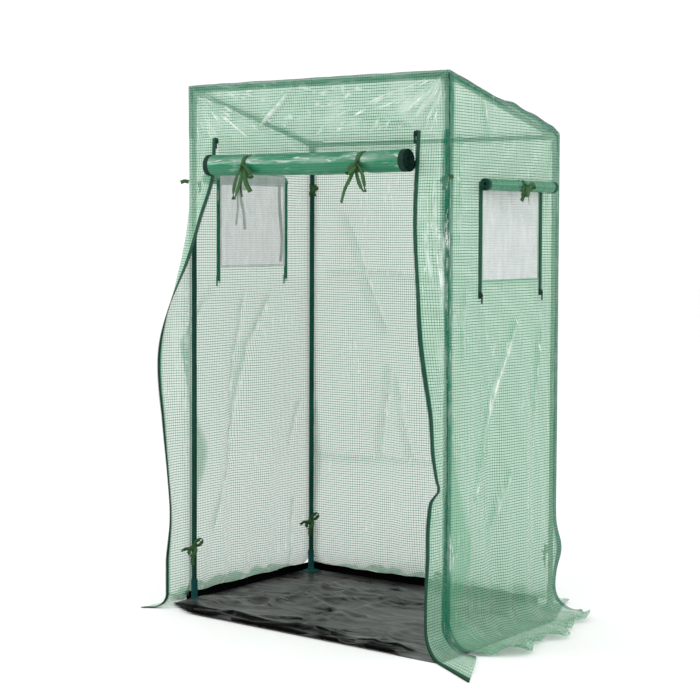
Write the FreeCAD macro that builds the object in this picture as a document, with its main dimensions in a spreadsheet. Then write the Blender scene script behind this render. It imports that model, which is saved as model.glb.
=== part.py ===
import FreeCAD, Part
import math
import os
import Sketcher

# Tomato greenhouse: a lean-to frame of plugged steel tubes under a loose film cover,
# with a roll-up door, two roll-up side windows over insect net, and a ground sheet.
# X runs to the right seen from the door, Y to the back, Z up from the ground.

Vector = FreeCAD.Vector
Rotation = FreeCAD.Rotation
Placement = FreeCAD.Placement
UP = Vector(0, 0, 1)

doc = FreeCAD.newDocument("TomatoGreenhouse")
sheet = doc.addObject("Spreadsheet::Sheet", "Sizes")

SIZES = {
    # Tube frame, between tube axes
    "frame_width": 984,
    "frame_depth": 632,
    "front_height": 1682,
    "back_height": 1533,
    "tube_diameter": 16,
    "tube_wall": 1,
    "post_joint_height": 820,
    "spigot_length": 60,
    "fit_clearance": 0.15,
    "socket_wall": 2.4,
    "socket_length": 45,
    "socket_stop": 14,
    # Feet
    "foot_diameter": 62,
    "foot_rim": 3,
    "foot_cone": 17,
    "foot_height": 75,
    "foot_floor": 6,
    # Film cover
    "film_thickness": 1,
    "cover_gap": 0.45,
    "cloth_gap": 0.3,
    "header_drop": 157,
    "fold_start_drop": 72,
    "fold_depth": 16,
    "skirt_flare": 80,
    "left_flap_flare": 45,
    "flap_skirt_height": 160,
    "left_flap_run_at_post": 5,
    "left_flap_run_at_edge": 25,
    "right_flap_run_at_post": 45,
    "right_flap_run_at_edge": 175,
    "tape_width": 20,
    # Door roll
    "door_jamb": 112.5,
    "door_hem_height": 85,
    "door_roll_radius": 35,
    "door_roll_core": 9,
    "door_roll_drop": 88,
    "door_roll_gap": 3,
    "door_tie_inset": 166.5,
    # Side windows
    "net_width": 330,
    "net_height": 296,
    "net_bottom": 1082,
    "net_thickness": 0.8,
    "net_seam": 9,
    "net_thread": 4,
    "window_tape_width": 15,
    "window_tape_extra": 54,
    "window_tape_gap": 8,
    "right_window_shift": 28,
    "left_window_shift": 0,
    "left_window_rise": 30,
    "window_roll_overhang": 20,
    "window_roll_radius": 19.5,
    "window_roll_core": 5,
    "window_roll_drop": 9,
    "window_flap_overlap": 34,
    "window_seam": 12,
    # Ribbons
    "ribbon_width": 15,
    "ribbon_thickness": 0.8,
    "door_tail": 115,
    "right_window_tail": 40,
    "left_window_tail": 170,
    "post_tail": 55,
    "upper_tie_drop": 148,
    "lower_tie_height": 190,
    # Zip sliders and their pulls
    "slider_width": 11,
    "slider_height": 18,
    "slider_thickness": 5,
    "bridge_width": 3,
    "bridge_height": 8,
    "bridge_depth": 4.5,
    "bridge_wire": 1.4,
    "pull_width": 7.4,
    "pull_length": 26,
    "pull_thickness": 1.4,
    "pull_bar": 1.4,
    "pull_slot": 4,
    # Ground sheet
    "ground_sheet_thickness": 1,
    "ground_sheet_margin": 4,
    "ground_sheet_rim": 20,
    "front_apron": 142,
    "front_apron_skew": 34,
    "right_apron": 96,
    "right_apron_end": 142,
    "left_corner_cut": 96,
    "corner_tip": 66,
}

for row, (alias, number) in enumerate(SIZES.items(), start=1):
    sheet.set(f"A{row}", alias)
    sheet.set(f"B{row}", str(number))
    sheet.setAlias(f"B{row}", alias)
doc.recompute()


def size(alias):
    return float(sheet.get(alias))


# Expressions shared by the bound pieces
HALF_WIDTH = "Sizes.frame_width / 2"
HALF_DEPTH = "Sizes.frame_depth / 2"
BORE = "(Sizes.tube_diameter / 2 + Sizes.fit_clearance)"
SOCKET = f"({BORE} + Sizes.socket_wall)"
COVER = f"({SOCKET} + Sizes.cover_gap)"
ROOF_ANGLE = "atan2(Sizes.front_height - Sizes.back_height; Sizes.frame_depth)"
WALL_X = f"({HALF_WIDTH} + {COVER})"
WALL_Y = f"({HALF_DEPTH} + {COVER})"
POST_FOOT = "(Sizes.ground_sheet_thickness + Sizes.foot_floor)"
HEADER = "(Sizes.front_height - Sizes.header_drop)"
DOOR_HALF = f"({WALL_X} + Sizes.film_thickness / 2 - Sizes.door_jamb)"

# The same places as numbers, for the film, which hangs in free shapes
film = size("film_thickness")
socket_radius = size("tube_diameter") / 2 + size("fit_clearance") + size("socket_wall")
cover_offset = socket_radius + size("cover_gap")
half_width = size("frame_width") / 2
half_depth = size("frame_depth") / 2
wall_x = half_width + cover_offset
wall_y = half_depth + cover_offset
ground_level = size("ground_sheet_thickness") + size("cloth_gap")
header_height = size("front_height") - size("header_drop")
roof_slope = (size("front_height") - size("back_height")) / size("frame_depth")
roof_rise = cover_offset * math.sqrt(1 + roof_slope ** 2)


def roof_underside(y):
    return size("front_height") + roof_rise - (y + half_depth) * roof_slope


subparts = []


def keep(item, label):
    """Give a finished sub-part its name."""
    item.Label = label
    subparts.append(item)
    return item


def feature(label, shape, placement=Placement()):
    """A sub-part whose free shape is worked out from the sheet."""
    item = doc.addObject("Part::Feature", label)
    item.Shape = shape
    item.Placement = placement * shape.Placement
    return keep(item, label)


def set_base(item, x, y, z):
    for axis, text in zip("xyz", (x, y, z)):
        item.setExpression(f".Placement.Base.{axis}", text)


def sketch_on(body, role, name):
    sketch = body.newObject("Sketcher::SketchObject", name)
    origin_plane = next(plane for plane in body.Origin.OriginFeatures if plane.Role == role)
    sketch.AttachmentSupport = [(origin_plane, "")]
    sketch.MapMode = "FlatFace"
    return sketch


def outline(sketch, corners):
    """Closed polygon with each corner held by two expressions."""
    first = sketch.GeometryCount
    count = len(corners)
    start = [Vector(math.cos(math.tau * i / count), math.sin(math.tau * i / count), 0) for i in range(count)]
    for i in range(count):
        sketch.addGeometry(Part.LineSegment(start[i], start[(i + 1) % count]), False)
    for i in range(count):
        sketch.addConstraint(Sketcher.Constraint("Coincident", first + i, 2, first + (i + 1) % count, 1))
    for i, (across, along) in enumerate(corners):
        for kind, text in (("DistanceX", across), ("DistanceY", along)):
            index = sketch.addConstraint(Sketcher.Constraint(kind, -1, 1, first + i, 1, 1.0))
            sketch.setExpression(f"Constraints[{index}]", text)


def pad(body, sketch, name, length):
    item = body.newObject("PartDesign::Pad", name)
    item.Profile = sketch
    item.setExpression("Length", length)
    return item


def turned(label, profile):
    """Body turned about Z from a half profile of (radius, height) corners."""
    body = doc.addObject("PartDesign::Body", label)
    sketch = sketch_on(body, "XZ_Plane", label + "_profile")
    outline(sketch, profile)
    turn = body.newObject("PartDesign::Revolution", label + "_turn")
    turn.Profile = sketch
    turn.ReferenceAxis = (sketch, ["V_Axis"])
    turn.Angle = 360
    return keep(body, label)


# Tube frame: each post is a lower tube and an upper tube whose swaged spigot plugs into it
OUTER = "Sizes.tube_diameter / 2"
INNER = "(Sizes.tube_diameter / 2 - Sizes.tube_wall)"
SPIGOT = f"({INNER} - Sizes.fit_clearance)"
JOINT = "Sizes.post_joint_height"
corners = [
    ("front_left", "-" + HALF_WIDTH, "-" + HALF_DEPTH, "Sizes.front_height"),
    ("front_right", HALF_WIDTH, "-" + HALF_DEPTH, "Sizes.front_height"),
    ("back_left", "-" + HALF_WIDTH, HALF_DEPTH, "Sizes.back_height"),
    ("back_right", HALF_WIDTH, HALF_DEPTH, "Sizes.back_height"),
]
for corner, x, y, height in corners:
    lower = turned(corner + "_post_lower", [
        (INNER, POST_FOOT), (OUTER, POST_FOOT), (OUTER, JOINT), (INNER, JOINT)])
    set_base(lower, x, y, "0")
    post_top = f"{height} - Sizes.socket_stop"
    spigot_end = f"{JOINT} - Sizes.spigot_length"
    upper = turned(corner + "_post_upper", [
        (f"{SPIGOT} - Sizes.tube_wall", spigot_end), (SPIGOT, spigot_end), (SPIGOT, JOINT), (OUTER, JOINT),
        (OUTER, post_top), (INNER, post_top), (INNER, f"{JOINT} + Sizes.tube_wall"),
        (f"{SPIGOT} - Sizes.tube_wall", f"{JOINT} + Sizes.tube_wall")])
    set_base(upper, x, y, "0")
    # Foot: a flared plastic cup that the post stands in
    foot = turned(corner + "_foot", [
        ("0", "0"), ("Sizes.foot_diameter / 2", "0"), ("Sizes.foot_diameter / 2", "Sizes.foot_rim"),
        (f"{SOCKET} + Sizes.foot_rim", "Sizes.foot_rim * 2"), (SOCKET, "Sizes.foot_cone"),
        (SOCKET, "Sizes.foot_height"), (BORE, "Sizes.foot_height"), (BORE, "Sizes.foot_floor"),
        ("0", "Sizes.foot_floor")])
    set_base(foot, x, y, "Sizes.ground_sheet_thickness")

# Rails along X, then the two sloping roof rails, each stopping short of the corner point
for label, y, height in (("front_top_rail", "-" + HALF_DEPTH, "Sizes.front_height"),
                         ("back_eave_rail", HALF_DEPTH, "Sizes.back_height")):
    end = f"{HALF_WIDTH} - Sizes.socket_stop"
    rail = turned(label, [(INNER, f"-({end})"), (OUTER, f"-({end})"), (OUTER, end), (INNER, end)])
    rail.Placement = Placement(Vector(), Rotation(Vector(0, 1, 0), 90))
    set_base(rail, "0", y, height)
ROOF_LENGTH = "sqrt(Sizes.frame_depth ^ 2 + (Sizes.front_height - Sizes.back_height) ^ 2)"
for label, x in (("left_roof_rail", "-" + HALF_WIDTH), ("right_roof_rail", HALF_WIDTH)):
    far = f"{ROOF_LENGTH} - Sizes.socket_stop"
    rail = turned(label, [
        (INNER, "Sizes.socket_stop"), (OUTER, "Sizes.socket_stop"), (OUTER, far), (INNER, far)])
    rail.Placement = Placement(Vector(), Rotation(Vector(-1, 0, 0), 100))
    rail.setExpression(".Placement.Rotation.Angle", f"90 deg + {ROOF_ANGLE}")
    set_base(rail, x, "-" + HALF_DEPTH, "Sizes.front_height")


def cylinder(name, radius, length, base, axis, angle):
    """Bound cylinder that starts at base, its own Z turned by angle about axis."""
    item = doc.addObject("Part::Cylinder", name)
    item.setExpression("Radius", radius)
    item.setExpression("Height", length)
    item.Placement = Placement(Vector(), Rotation(axis, 100))
    item.setExpression(".Placement.Rotation.Angle", angle)
    set_base(item, *base)
    return item


# Corner connectors: three sockets round a ball, each bored down to its stop
for corner, x, y, height in corners:
    inward = 1 if corner.endswith("left") else -1
    front = corner.startswith("front")
    roof_turn = f"90 deg + {ROOF_ANGLE}" if front else f"90 deg - {ROOF_ANGLE}"
    way = 1 if front else -1
    roof_y = f"{y} + {way} * Sizes.socket_stop * cos({ROOF_ANGLE})"
    roof_z = f"{height} - {way} * Sizes.socket_stop * sin({ROOF_ANGLE})"
    arms = [
        ("post", Vector(1, 0, 0), "180 deg", (x, y, f"{height} - Sizes.socket_stop")),
        ("rail", Vector(0, inward, 0), "90 deg", (f"{x} + {inward} * Sizes.socket_stop", y, height)),
        ("roof", Vector(-way, 0, 0), roof_turn, (x, roof_y, roof_z)),
    ]
    ball = doc.addObject("Part::Sphere", corner + "_ball")
    ball.setExpression("Radius", SOCKET)
    set_base(ball, x, y, height)
    sockets = [ball]
    bores = []
    for arm, axis, angle, stop in arms:
        name = f"{corner}_{arm}"
        sockets.append(cylinder(name + "_socket", SOCKET, "Sizes.socket_length", (x, y, height), axis, angle))
        bores.append(cylinder(name + "_bore", BORE, "Sizes.socket_length", stop, axis, angle))
    outside = doc.addObject("Part::MultiFuse", corner + "_outside")
    outside.Shapes = sockets
    inside = doc.addObject("Part::MultiFuse", corner + "_inside")
    inside.Shapes = bores
    connector = doc.addObject("Part::Cut", corner + "_connector")
    connector.Base = outside
    connector.Tool = inside
    keep(connector, corner + "_connector")


# Ground sheet: a black sheet with aprons laid out in front and on the right, two pointed
# corners, and its left and back edges turned up into a rim outside the feet
EDGE = "Sizes.foot_diameter / 2 + Sizes.ground_sheet_margin"
LEFT_EDGE = f"-({HALF_WIDTH} + {EDGE})"
BACK_EDGE = f"({HALF_DEPTH} + {EDGE})"
FRONT_EDGE = f"({HALF_DEPTH} + Sizes.front_apron)"
ground = doc.addObject("PartDesign::Body", "ground_sheet")
spread = sketch_on(ground, "XY_Plane", "ground_sheet_outline")
outline(spread, [
    (LEFT_EDGE, f"-({HALF_DEPTH} + Sizes.corner_tip)"),
    (f"-({HALF_WIDTH} - Sizes.left_corner_cut)", f"-{FRONT_EDGE}"),
    (f"{HALF_WIDTH} + Sizes.right_apron", f"-({FRONT_EDGE} + Sizes.front_apron_skew)"),
    (f"{HALF_WIDTH} + Sizes.right_apron", f"{HALF_DEPTH} - Sizes.right_apron_end"),
    (HALF_WIDTH, f"{BACK_EDGE} + Sizes.corner_tip"),
    (f"{HALF_WIDTH} - Sizes.corner_tip", BACK_EDGE),
    (LEFT_EDGE, BACK_EDGE),
])
pad(ground, spread, "ground_sheet_floor", "Sizes.ground_sheet_thickness")
for side, near, far in (
        ("left", (LEFT_EDGE, f"-{HALF_DEPTH}"),
         (f"{LEFT_EDGE} + Sizes.ground_sheet_thickness", BACK_EDGE)),
        ("back", (LEFT_EDGE, f"{BACK_EDGE} - Sizes.ground_sheet_thickness"),
         (f"{HALF_WIDTH} - Sizes.corner_tip", BACK_EDGE))):
    rim = sketch_on(ground, "XY_Plane", f"ground_sheet_{side}_edge")
    outline(rim, [near, (far[0], near[1]), far, (near[0], far[1])])
    pad(ground, rim, f"ground_sheet_{side}_rim", "Sizes.ground_sheet_rim")
keep(ground, "ground_sheet")


# Flat film: the roof on its slope and the header above the door
roof = doc.addObject("Part::Box", "roof_panel")
roof.setExpression("Length", f"2 * ({WALL_X} + Sizes.film_thickness)")
roof.setExpression("Width", f"2 * ({WALL_Y} + Sizes.film_thickness) / cos({ROOF_ANGLE})")
roof.setExpression("Height", "Sizes.film_thickness")
roof.Placement = Placement(Vector(), Rotation(Vector(-1, 0, 0), 10))
roof.setExpression(".Placement.Rotation.Angle", ROOF_ANGLE)
RISE = f"{COVER} / cos({ROOF_ANGLE})"
set_base(roof, f"-({WALL_X} + Sizes.film_thickness)", f"-({WALL_Y} + Sizes.film_thickness)",
         f"Sizes.front_height + {RISE} + ({COVER} + Sizes.film_thickness) * tan({ROOF_ANGLE})")
keep(roof, "roof_panel")

header = doc.addObject("Part::Box", "front_header")
header.setExpression("Length", f"2 * ({WALL_X} + Sizes.film_thickness)")
header.setExpression("Width", "Sizes.film_thickness")
header.setExpression("Height", f"Sizes.header_drop + {RISE} + {COVER} * tan({ROOF_ANGLE})")
set_base(header, f"-({WALL_X} + Sizes.film_thickness)", f"-({WALL_Y} + Sizes.film_thickness)", HEADER)
keep(header, "front_header")


def bent(start, middle, end):
    """Edge through three points, straight where they are in line."""
    if (middle - start).cross(end - start).Length < 1e-6:
        return Part.LineSegment(start, end).toShape()
    return Part.Arc(start, middle, end).toShape()


def hung_profile(station, reach, top, flat, fold, drift, flare, run, lean=0):
    """Closed outline of hanging film in the plane y = station.

    From its top it hangs flat to the height flat, bows by fold, drifts outward by drift, flares
    in an arc that ends level and runs out along the ground, leaning along Y as it goes.
    """
    knee = ground_level + flare
    stretch = math.sqrt(1 + lean ** 2)
    bend = flare * (stretch ** 2 + 1) / 2
    half_turn = math.atan2(stretch * flare, bend - flare) / 2
    turn = flare - bend * math.sin(half_turn) / stretch
    height_at_turn = ground_level + bend * (1 - math.cos(half_turn))

    def chain(out, lift):
        middle = (flat + knee) / 2
        points = [
            (0, top), (0, flat), (fold, middle), (drift, knee + lift),
            (drift + turn, height_at_turn + lift), (drift + flare, ground_level + lift),
            (drift + flare + run - out, ground_level + lift)]
        places = [Vector(reach + across + out, station + lean * (across + out - film), height)
                  for across, height in points]
        edges = [
            Part.LineSegment(places[0], places[1]).toShape(),
            bent(places[1], places[2], places[3]),
            bent(places[3], places[4], places[5]),
            Part.LineSegment(places[5], places[6]).toShape()]
        return edges, places

    inner, inner_places = chain(0, 0)
    outer, outer_places = chain(film, film)
    end = Part.LineSegment(inner_places[-1], outer_places[-1]).toShape()
    close = Part.LineSegment(outer_places[0], inner_places[0]).toShape()
    return Part.Wire(inner + [end] + outer[::-1] + [close])


def hung_panel(reach, half_length, top_at, runs, waves, lean=0):
    """Wall of film, lofted along its length; runs lists how far the skirt lies out at each station.

    The skirt leans along the wall at its first end and hangs square from there on.
    """
    count = len(runs) - 1
    flat = size("net_bottom") - size("fold_start_drop")
    profiles = []
    for i, run in enumerate(runs):
        station = half_length * (2 * i / count - 1)
        ease = math.sin(math.pi * i / count)
        fold = size("fold_depth") * ease * math.sin(math.tau * waves * i / count)
        drift = size("fold_depth") * ease
        slant = lean * max(0, 1 - 4 * i / count)
        top = top_at(station - slant * film)
        profiles.append(hung_profile(station, reach, top, flat, fold, drift, size("skirt_flare"), run, slant))
    return Part.makeLoft(profiles, True, True)


def net_box(depth, shift, rise):
    """Block over a window's opening, in the frame of a wall that faces +X."""
    corner = Vector(wall_x - depth, shift - size("net_width") / 2, size("net_bottom") + rise)
    return Part.makeBox(2 * depth, size("net_width"), size("net_height"), corner)


# Side walls and back: folds grow below the windows and the skirt spreads unevenly
HALF_TURN = Placement(Vector(), Rotation(UP, 180))
QUARTER_TURN = Placement(Vector(), Rotation(UP, 90))
RIGHT_SKIRT = (45, 120, 150, 118, 100, 128, 132, 105, 88, 72, 90, 70, 20)
LEFT_SKIRT = (20, 40, 48, 36, 30, 48, 56, 46, 40, 50, 40, 28, 20)
BACK_SKIRT = (20, 44, 58, 46, 36, 46, 62, 52, 40, 54, 44, 30, 20)
RIGHT_LEAN = 0.2
window_cut = 4 * film
right_wall = hung_panel(wall_x, wall_y, roof_underside, RIGHT_SKIRT, 2, -RIGHT_LEAN)
right_wall = right_wall.cut(net_box(window_cut, size("right_window_shift"), 0))
feature("right_wall_panel", right_wall)
left_wall = hung_panel(wall_x, wall_y, lambda station: roof_underside(-station), LEFT_SKIRT, 2)
left_wall = left_wall.cut(net_box(window_cut, -size("left_window_shift"), size("left_window_rise")))
feature("left_wall_panel", left_wall, HALF_TURN)
back_top = roof_underside(wall_y + film)
back = hung_panel(wall_y, wall_x + film, lambda station: back_top, BACK_SKIRT, 3)
feature("back_panel", back, QUARTER_TURN)


def strip_section(pivot, tip, belly, near, far, height):
    """Cut through a hanging strip at one height, between two shares of its way from pivot to tip."""
    middle = (pivot + tip) / 2
    chord = (tip - pivot).Length
    ahead = (tip - pivot).normalize()
    aside = belly / abs(belly) * Vector(ahead.y, -ahead.x, 0) if belly else Vector(ahead.y, -ahead.x, 0)
    sag = abs(belly)

    def place(share, off):
        if not sag:
            return pivot + ahead * (chord * share) + aside * off
        radius = (chord ** 2 / 4 + sag ** 2) / (2 * sag)
        centre = middle + aside * (sag - radius)
        half = math.asin(chord / 2 / radius)
        angle = half * (2 * share - 1)
        return centre + (ahead * math.sin(angle) + aside * math.cos(angle)) * (radius + off)

    def line(off, shares):
        return [place(share, off) + Vector(0, 0, height) for share in shares]

    outer = line(film / 2, (near, (near + far) / 2, far))
    inner = line(-film / 2, (far, (near + far) / 2, near))
    return Part.Wire([bent(*outer), Part.LineSegment(outer[2], inner[0]).toShape(),
                      bent(*inner), Part.LineSegment(inner[2], outer[0]).toShape()])


# Door flaps: the film beside the door hangs from the header, swings outward as it falls and
# spreads on the ground. Each station is a share of the fall, a swing in degrees and a belly, as
# a share of the flap's width.
LEFT_FALL = ((0, 0, 0), (0.09, 4, 0.053), (0.18, 26, 0.142), (0.29, 50, 0.213), (0.4, 84, 0.178),
             (0.52, 112, 0.107), (0.67, 99, 0.089), (0.8, 87, 0.107), (0.9, 82, 0.071), (1, 90, 0))
RIGHT_FALL = ((0, 0, 0), (0.1, 5, 0.044), (0.25, 16, 0.124), (0.42, 52, 0.16), (0.6, 88, 0.124),
              (0.74, 108, 0.089), (0.82, 98, 0.107), (0.92, 94, 0.071), (1, 90, 0))
flap_reach = size("door_jamb")
tape_share = 1 - size("tape_width") / flap_reach
flap_knee = size("flap_skirt_height")


def flap_shape(side, fall, flare, runs, leans, near, far):
    """Part of a door flap between two shares of its width; side is 1 on the right.

    runs and leans give its skirt at the post and at the free edge.
    """
    pivot = Vector(side * (wall_x + film / 2), -(wall_y + film / 2), 0)
    sections = []
    for share, swing, belly in fall:
        turn = math.radians(swing)
        tip = pivot + Vector(-side * math.cos(turn), -math.sin(turn), 0) * flap_reach
        height = header_height + (flap_knee - header_height) * share
        sections.append(strip_section(pivot, tip, -side * belly * flap_reach, near, far, height))
    hanging = Part.makeLoft(sections, True, True)
    profiles = []
    for i in range(4):
        share = near + (far - near) * i / 3
        station = side * (pivot.y - flap_reach * share)
        run = runs[0] + (runs[1] - runs[0]) * share
        lean = -side * (leans[0] + (leans[1] - leans[0]) * share)
        flat = (flap_knee + flare) / 2
        profiles.append(hung_profile(station, wall_x, flap_knee, flat, 0, 0, flare, run, lean))
    skirt = Part.makeLoft(profiles, True, True)
    if side < 0:
        skirt = skirt.mirror(Vector(), Vector(1, 0, 0)).mirror(Vector(), Vector(0, 1, 0))
    return hanging.fuse(skirt).removeSplitter().Solids[0]


for side, name, fall, flare, leans in (
        (-1, "left", LEFT_FALL, size("left_flap_flare"), (0.1, 0.6)),
        (1, "right", RIGHT_FALL, size("skirt_flare"), (0.25, 0.65))):
    runs = (size(name + "_flap_run_at_post"), size(name + "_flap_run_at_edge"))
    feature(name + "_door_flap", flap_shape(side, fall, flare, runs, leans, 0, tape_share))
    feature(name + "_door_zip_tape", flap_shape(side, fall, flare, runs, leans, tape_share, 1))


def wound_face(radius, core, length):
    """Face of a wound sheet in the YZ plane, quarter by quarter from its outer end inward."""
    pitch = math.pi * (radius ** 2 - core ** 2) / length
    step = pitch / 4
    middle = radius - film / 2
    quarters = int((middle - core) / step)
    centre = Vector()
    outer = []
    inner = []
    for i in range(quarters):
        at = [-math.pi / 2 * (i + part) for part in (0, 0.5, 1)]
        rays = [Vector(0, math.cos(angle), math.sin(angle)) for angle in at]
        outer.append([centre + ray * (middle + film / 2) for ray in rays])
        inner.append([centre + ray * (middle - film / 2) for ray in rays])
        centre = centre + rays[2] * step
        middle = middle - step
    edges = [Part.Arc(*points).toShape() for points in outer]
    edges.append(Part.LineSegment(outer[-1][2], inner[-1][2]).toShape())
    edges += [Part.Arc(*points).toShape() for points in inner[::-1]]
    edges.append(Part.LineSegment(inner[0][0], outer[0][0]).toShape())
    print(f"wound sheet: {quarters / 4} turns, gap between turns {pitch - film:.2f} mm")
    return Part.Face(Part.Wire(edges))


def wound_solid(face, begin, end):
    moved = face.copy()
    moved.translate(Vector(begin, 0, 0))
    return moved.extrude(Vector(end - begin, 0, 0))


# Door: a short curtain under the header runs into the roll, whose ends are zip tape
door_axis = Vector(0, -(wall_y + size("door_roll_radius")), header_height - size("door_roll_drop"))
roll_half = wall_x + film / 2 - size("door_jamb") - size("door_roll_gap")
door_length = header_height - size("door_hem_height")
door_face = wound_face(size("door_roll_radius"), size("door_roll_core"), door_length)
at_roll = Placement(door_axis, Rotation())
tape_start = roll_half - size("tape_width")
feature("door_roll", wound_solid(door_face, -tape_start, tape_start), at_roll)
feature("door_roll_left_tape", wound_solid(door_face, -roll_half, -tape_start), at_roll)
feature("door_roll_right_tape", wound_solid(door_face, tape_start, roll_half), at_roll)
CURTAIN = f"({DOOR_HALF} - Sizes.slider_width - 2 * Sizes.cloth_gap)"
curtain = doc.addObject("Part::Box", "door_curtain")
curtain.setExpression("Length", f"2 * {CURTAIN}")
curtain.setExpression("Width", "Sizes.film_thickness")
curtain.setExpression("Height", "Sizes.door_roll_drop")
set_base(curtain, f"-{CURTAIN}", f"-({WALL_Y} + Sizes.film_thickness)", f"{HEADER} - Sizes.door_roll_drop")
keep(curtain, "door_curtain")


def prism(points, depth):
    """Outline in the XZ plane, drawn out in Y about the plane's own place."""
    places = [Vector(x, -depth / 2, z) for x, z in points]
    face = Part.Face(Part.makePolygon(places + places[:1]))
    return face.extrude(Vector(0, depth, 0))


def ribbon_loop(lean, drop):
    """One bow loop: a band bent into a drop shape, seen from the front as a ring."""
    width = size("ribbon_width")
    thickness = size("ribbon_thickness")
    band = []
    for off in (0, thickness):
        wide = drop / 6 - off
        low = -drop + off
        edges = [
            Part.Arc(Vector(0, 0, 0), Vector(lean - wide, 0, low / 2), Vector(lean, 0, low)).toShape(),
            Part.Arc(Vector(lean, 0, low), Vector(lean + wide, 0, low / 2), Vector(0, 0, 0)).toShape()]
        band.append(Part.Face(Part.Wire(edges)))
    ring = band[0].cut(band[1]).extrude(Vector(0, width / 2, 0))
    ring.translate(Vector(0, -width / 4, 0))
    return ring


def bow(tail):
    """Knot, two loops and two tails in front of the XZ plane, hanging from the knot."""
    width = size("ribbon_width")
    thickness = size("ribbon_thickness")
    knot = Part.makeBox(width, width / 2, width * 0.8, Vector(-width / 2, -width / 4, -width * 0.4))
    pieces = [ribbon_loop(-tail / 6, tail * 0.8), ribbon_loop(tail / 6, tail * 0.7)]
    for lean, reach in ((-tail / 8, tail), (tail / 6, tail * 0.75)):
        end = [(lean + width / 2, -reach), (lean - width / 2, -reach)]
        pieces.append(prism([(-width / 3, 0), (width / 3, 0)] + end, thickness))
    shape = knot.multiFuse(pieces).removeSplitter()
    shape.translate(Vector(0, -width / 4 - size("cloth_gap"), 0))
    return shape


def strap(radius, axis):
    """Ring of ribbon round a roll or a post."""
    width = size("ribbon_width")
    inner = radius + size("cloth_gap")
    start = axis * (-width / 2)
    band = Part.makeCylinder(inner + size("ribbon_thickness"), width, start, axis)
    return band.cut(Part.makeCylinder(inner, width, start, axis))


def roll_tie(radius, tail):
    """Ribbon round a roll that lies along X, open behind where the curtain comes down to it."""
    ring = strap(radius, Vector(1, 0, 0))
    room = Part.makeBox(4 * radius, 4 * radius, 4 * radius, Vector(-2 * radius, radius / 2, -radius / 3))
    knotted = bow(tail)
    knotted.translate(Vector(0, -radius, 0))
    return ring.cut(room).fuse(knotted).removeSplitter()


# Door ties: two ribbons with bows, tied round the roll
door_ties = []
for side in (-1, 1):
    tie = roll_tie(size("door_roll_radius"), size("door_tail"))
    tie.translate(Vector(side * (roll_half - size("door_tie_inset")), 0, 0))
    door_ties.append(tie)
feature("door_ties", Part.makeCompound(door_ties), at_roll)


def wall_frame(side, rise):
    """Placement that turns a piece made for a wall facing -Y onto a side wall, at its own height."""
    return Placement(Vector(0, 0, rise), Rotation(UP, 90 * side))


NET_COLUMNS = 14
NET_ROWS = 12


def window_net(shift):
    """Sewn-in net: one sheet with square gaps, behind the wall's opening."""
    seam = size("net_seam")
    thread = size("net_thread")
    left = -size("net_width") / 2
    low = size("net_bottom")
    step_x = (size("net_width") - thread) / NET_COLUMNS
    step_z = (size("net_height") - thread) / NET_ROWS

    def frame(x, z, width, height):
        far = x + width
        top = z + height
        places = [Vector(x, 0, z), Vector(far, 0, z), Vector(far, 0, top), Vector(x, 0, top)]
        return Part.makePolygon(places + places[:1])

    wires = [frame(left - seam, low - seam, size("net_width") + 2 * seam, size("net_height") + 2 * seam)]
    for column in range(NET_COLUMNS):
        for row in range(NET_ROWS):
            wires.append(frame(left + thread + column * step_x, low + thread + row * step_z,
                               step_x - thread, step_z - thread))
    net = Part.makeFace(wires, "Part::FaceMakerBullseye").extrude(Vector(0, size("net_thickness"), 0))
    net.translate(Vector(shift, -wall_x, 0))
    return net


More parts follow.
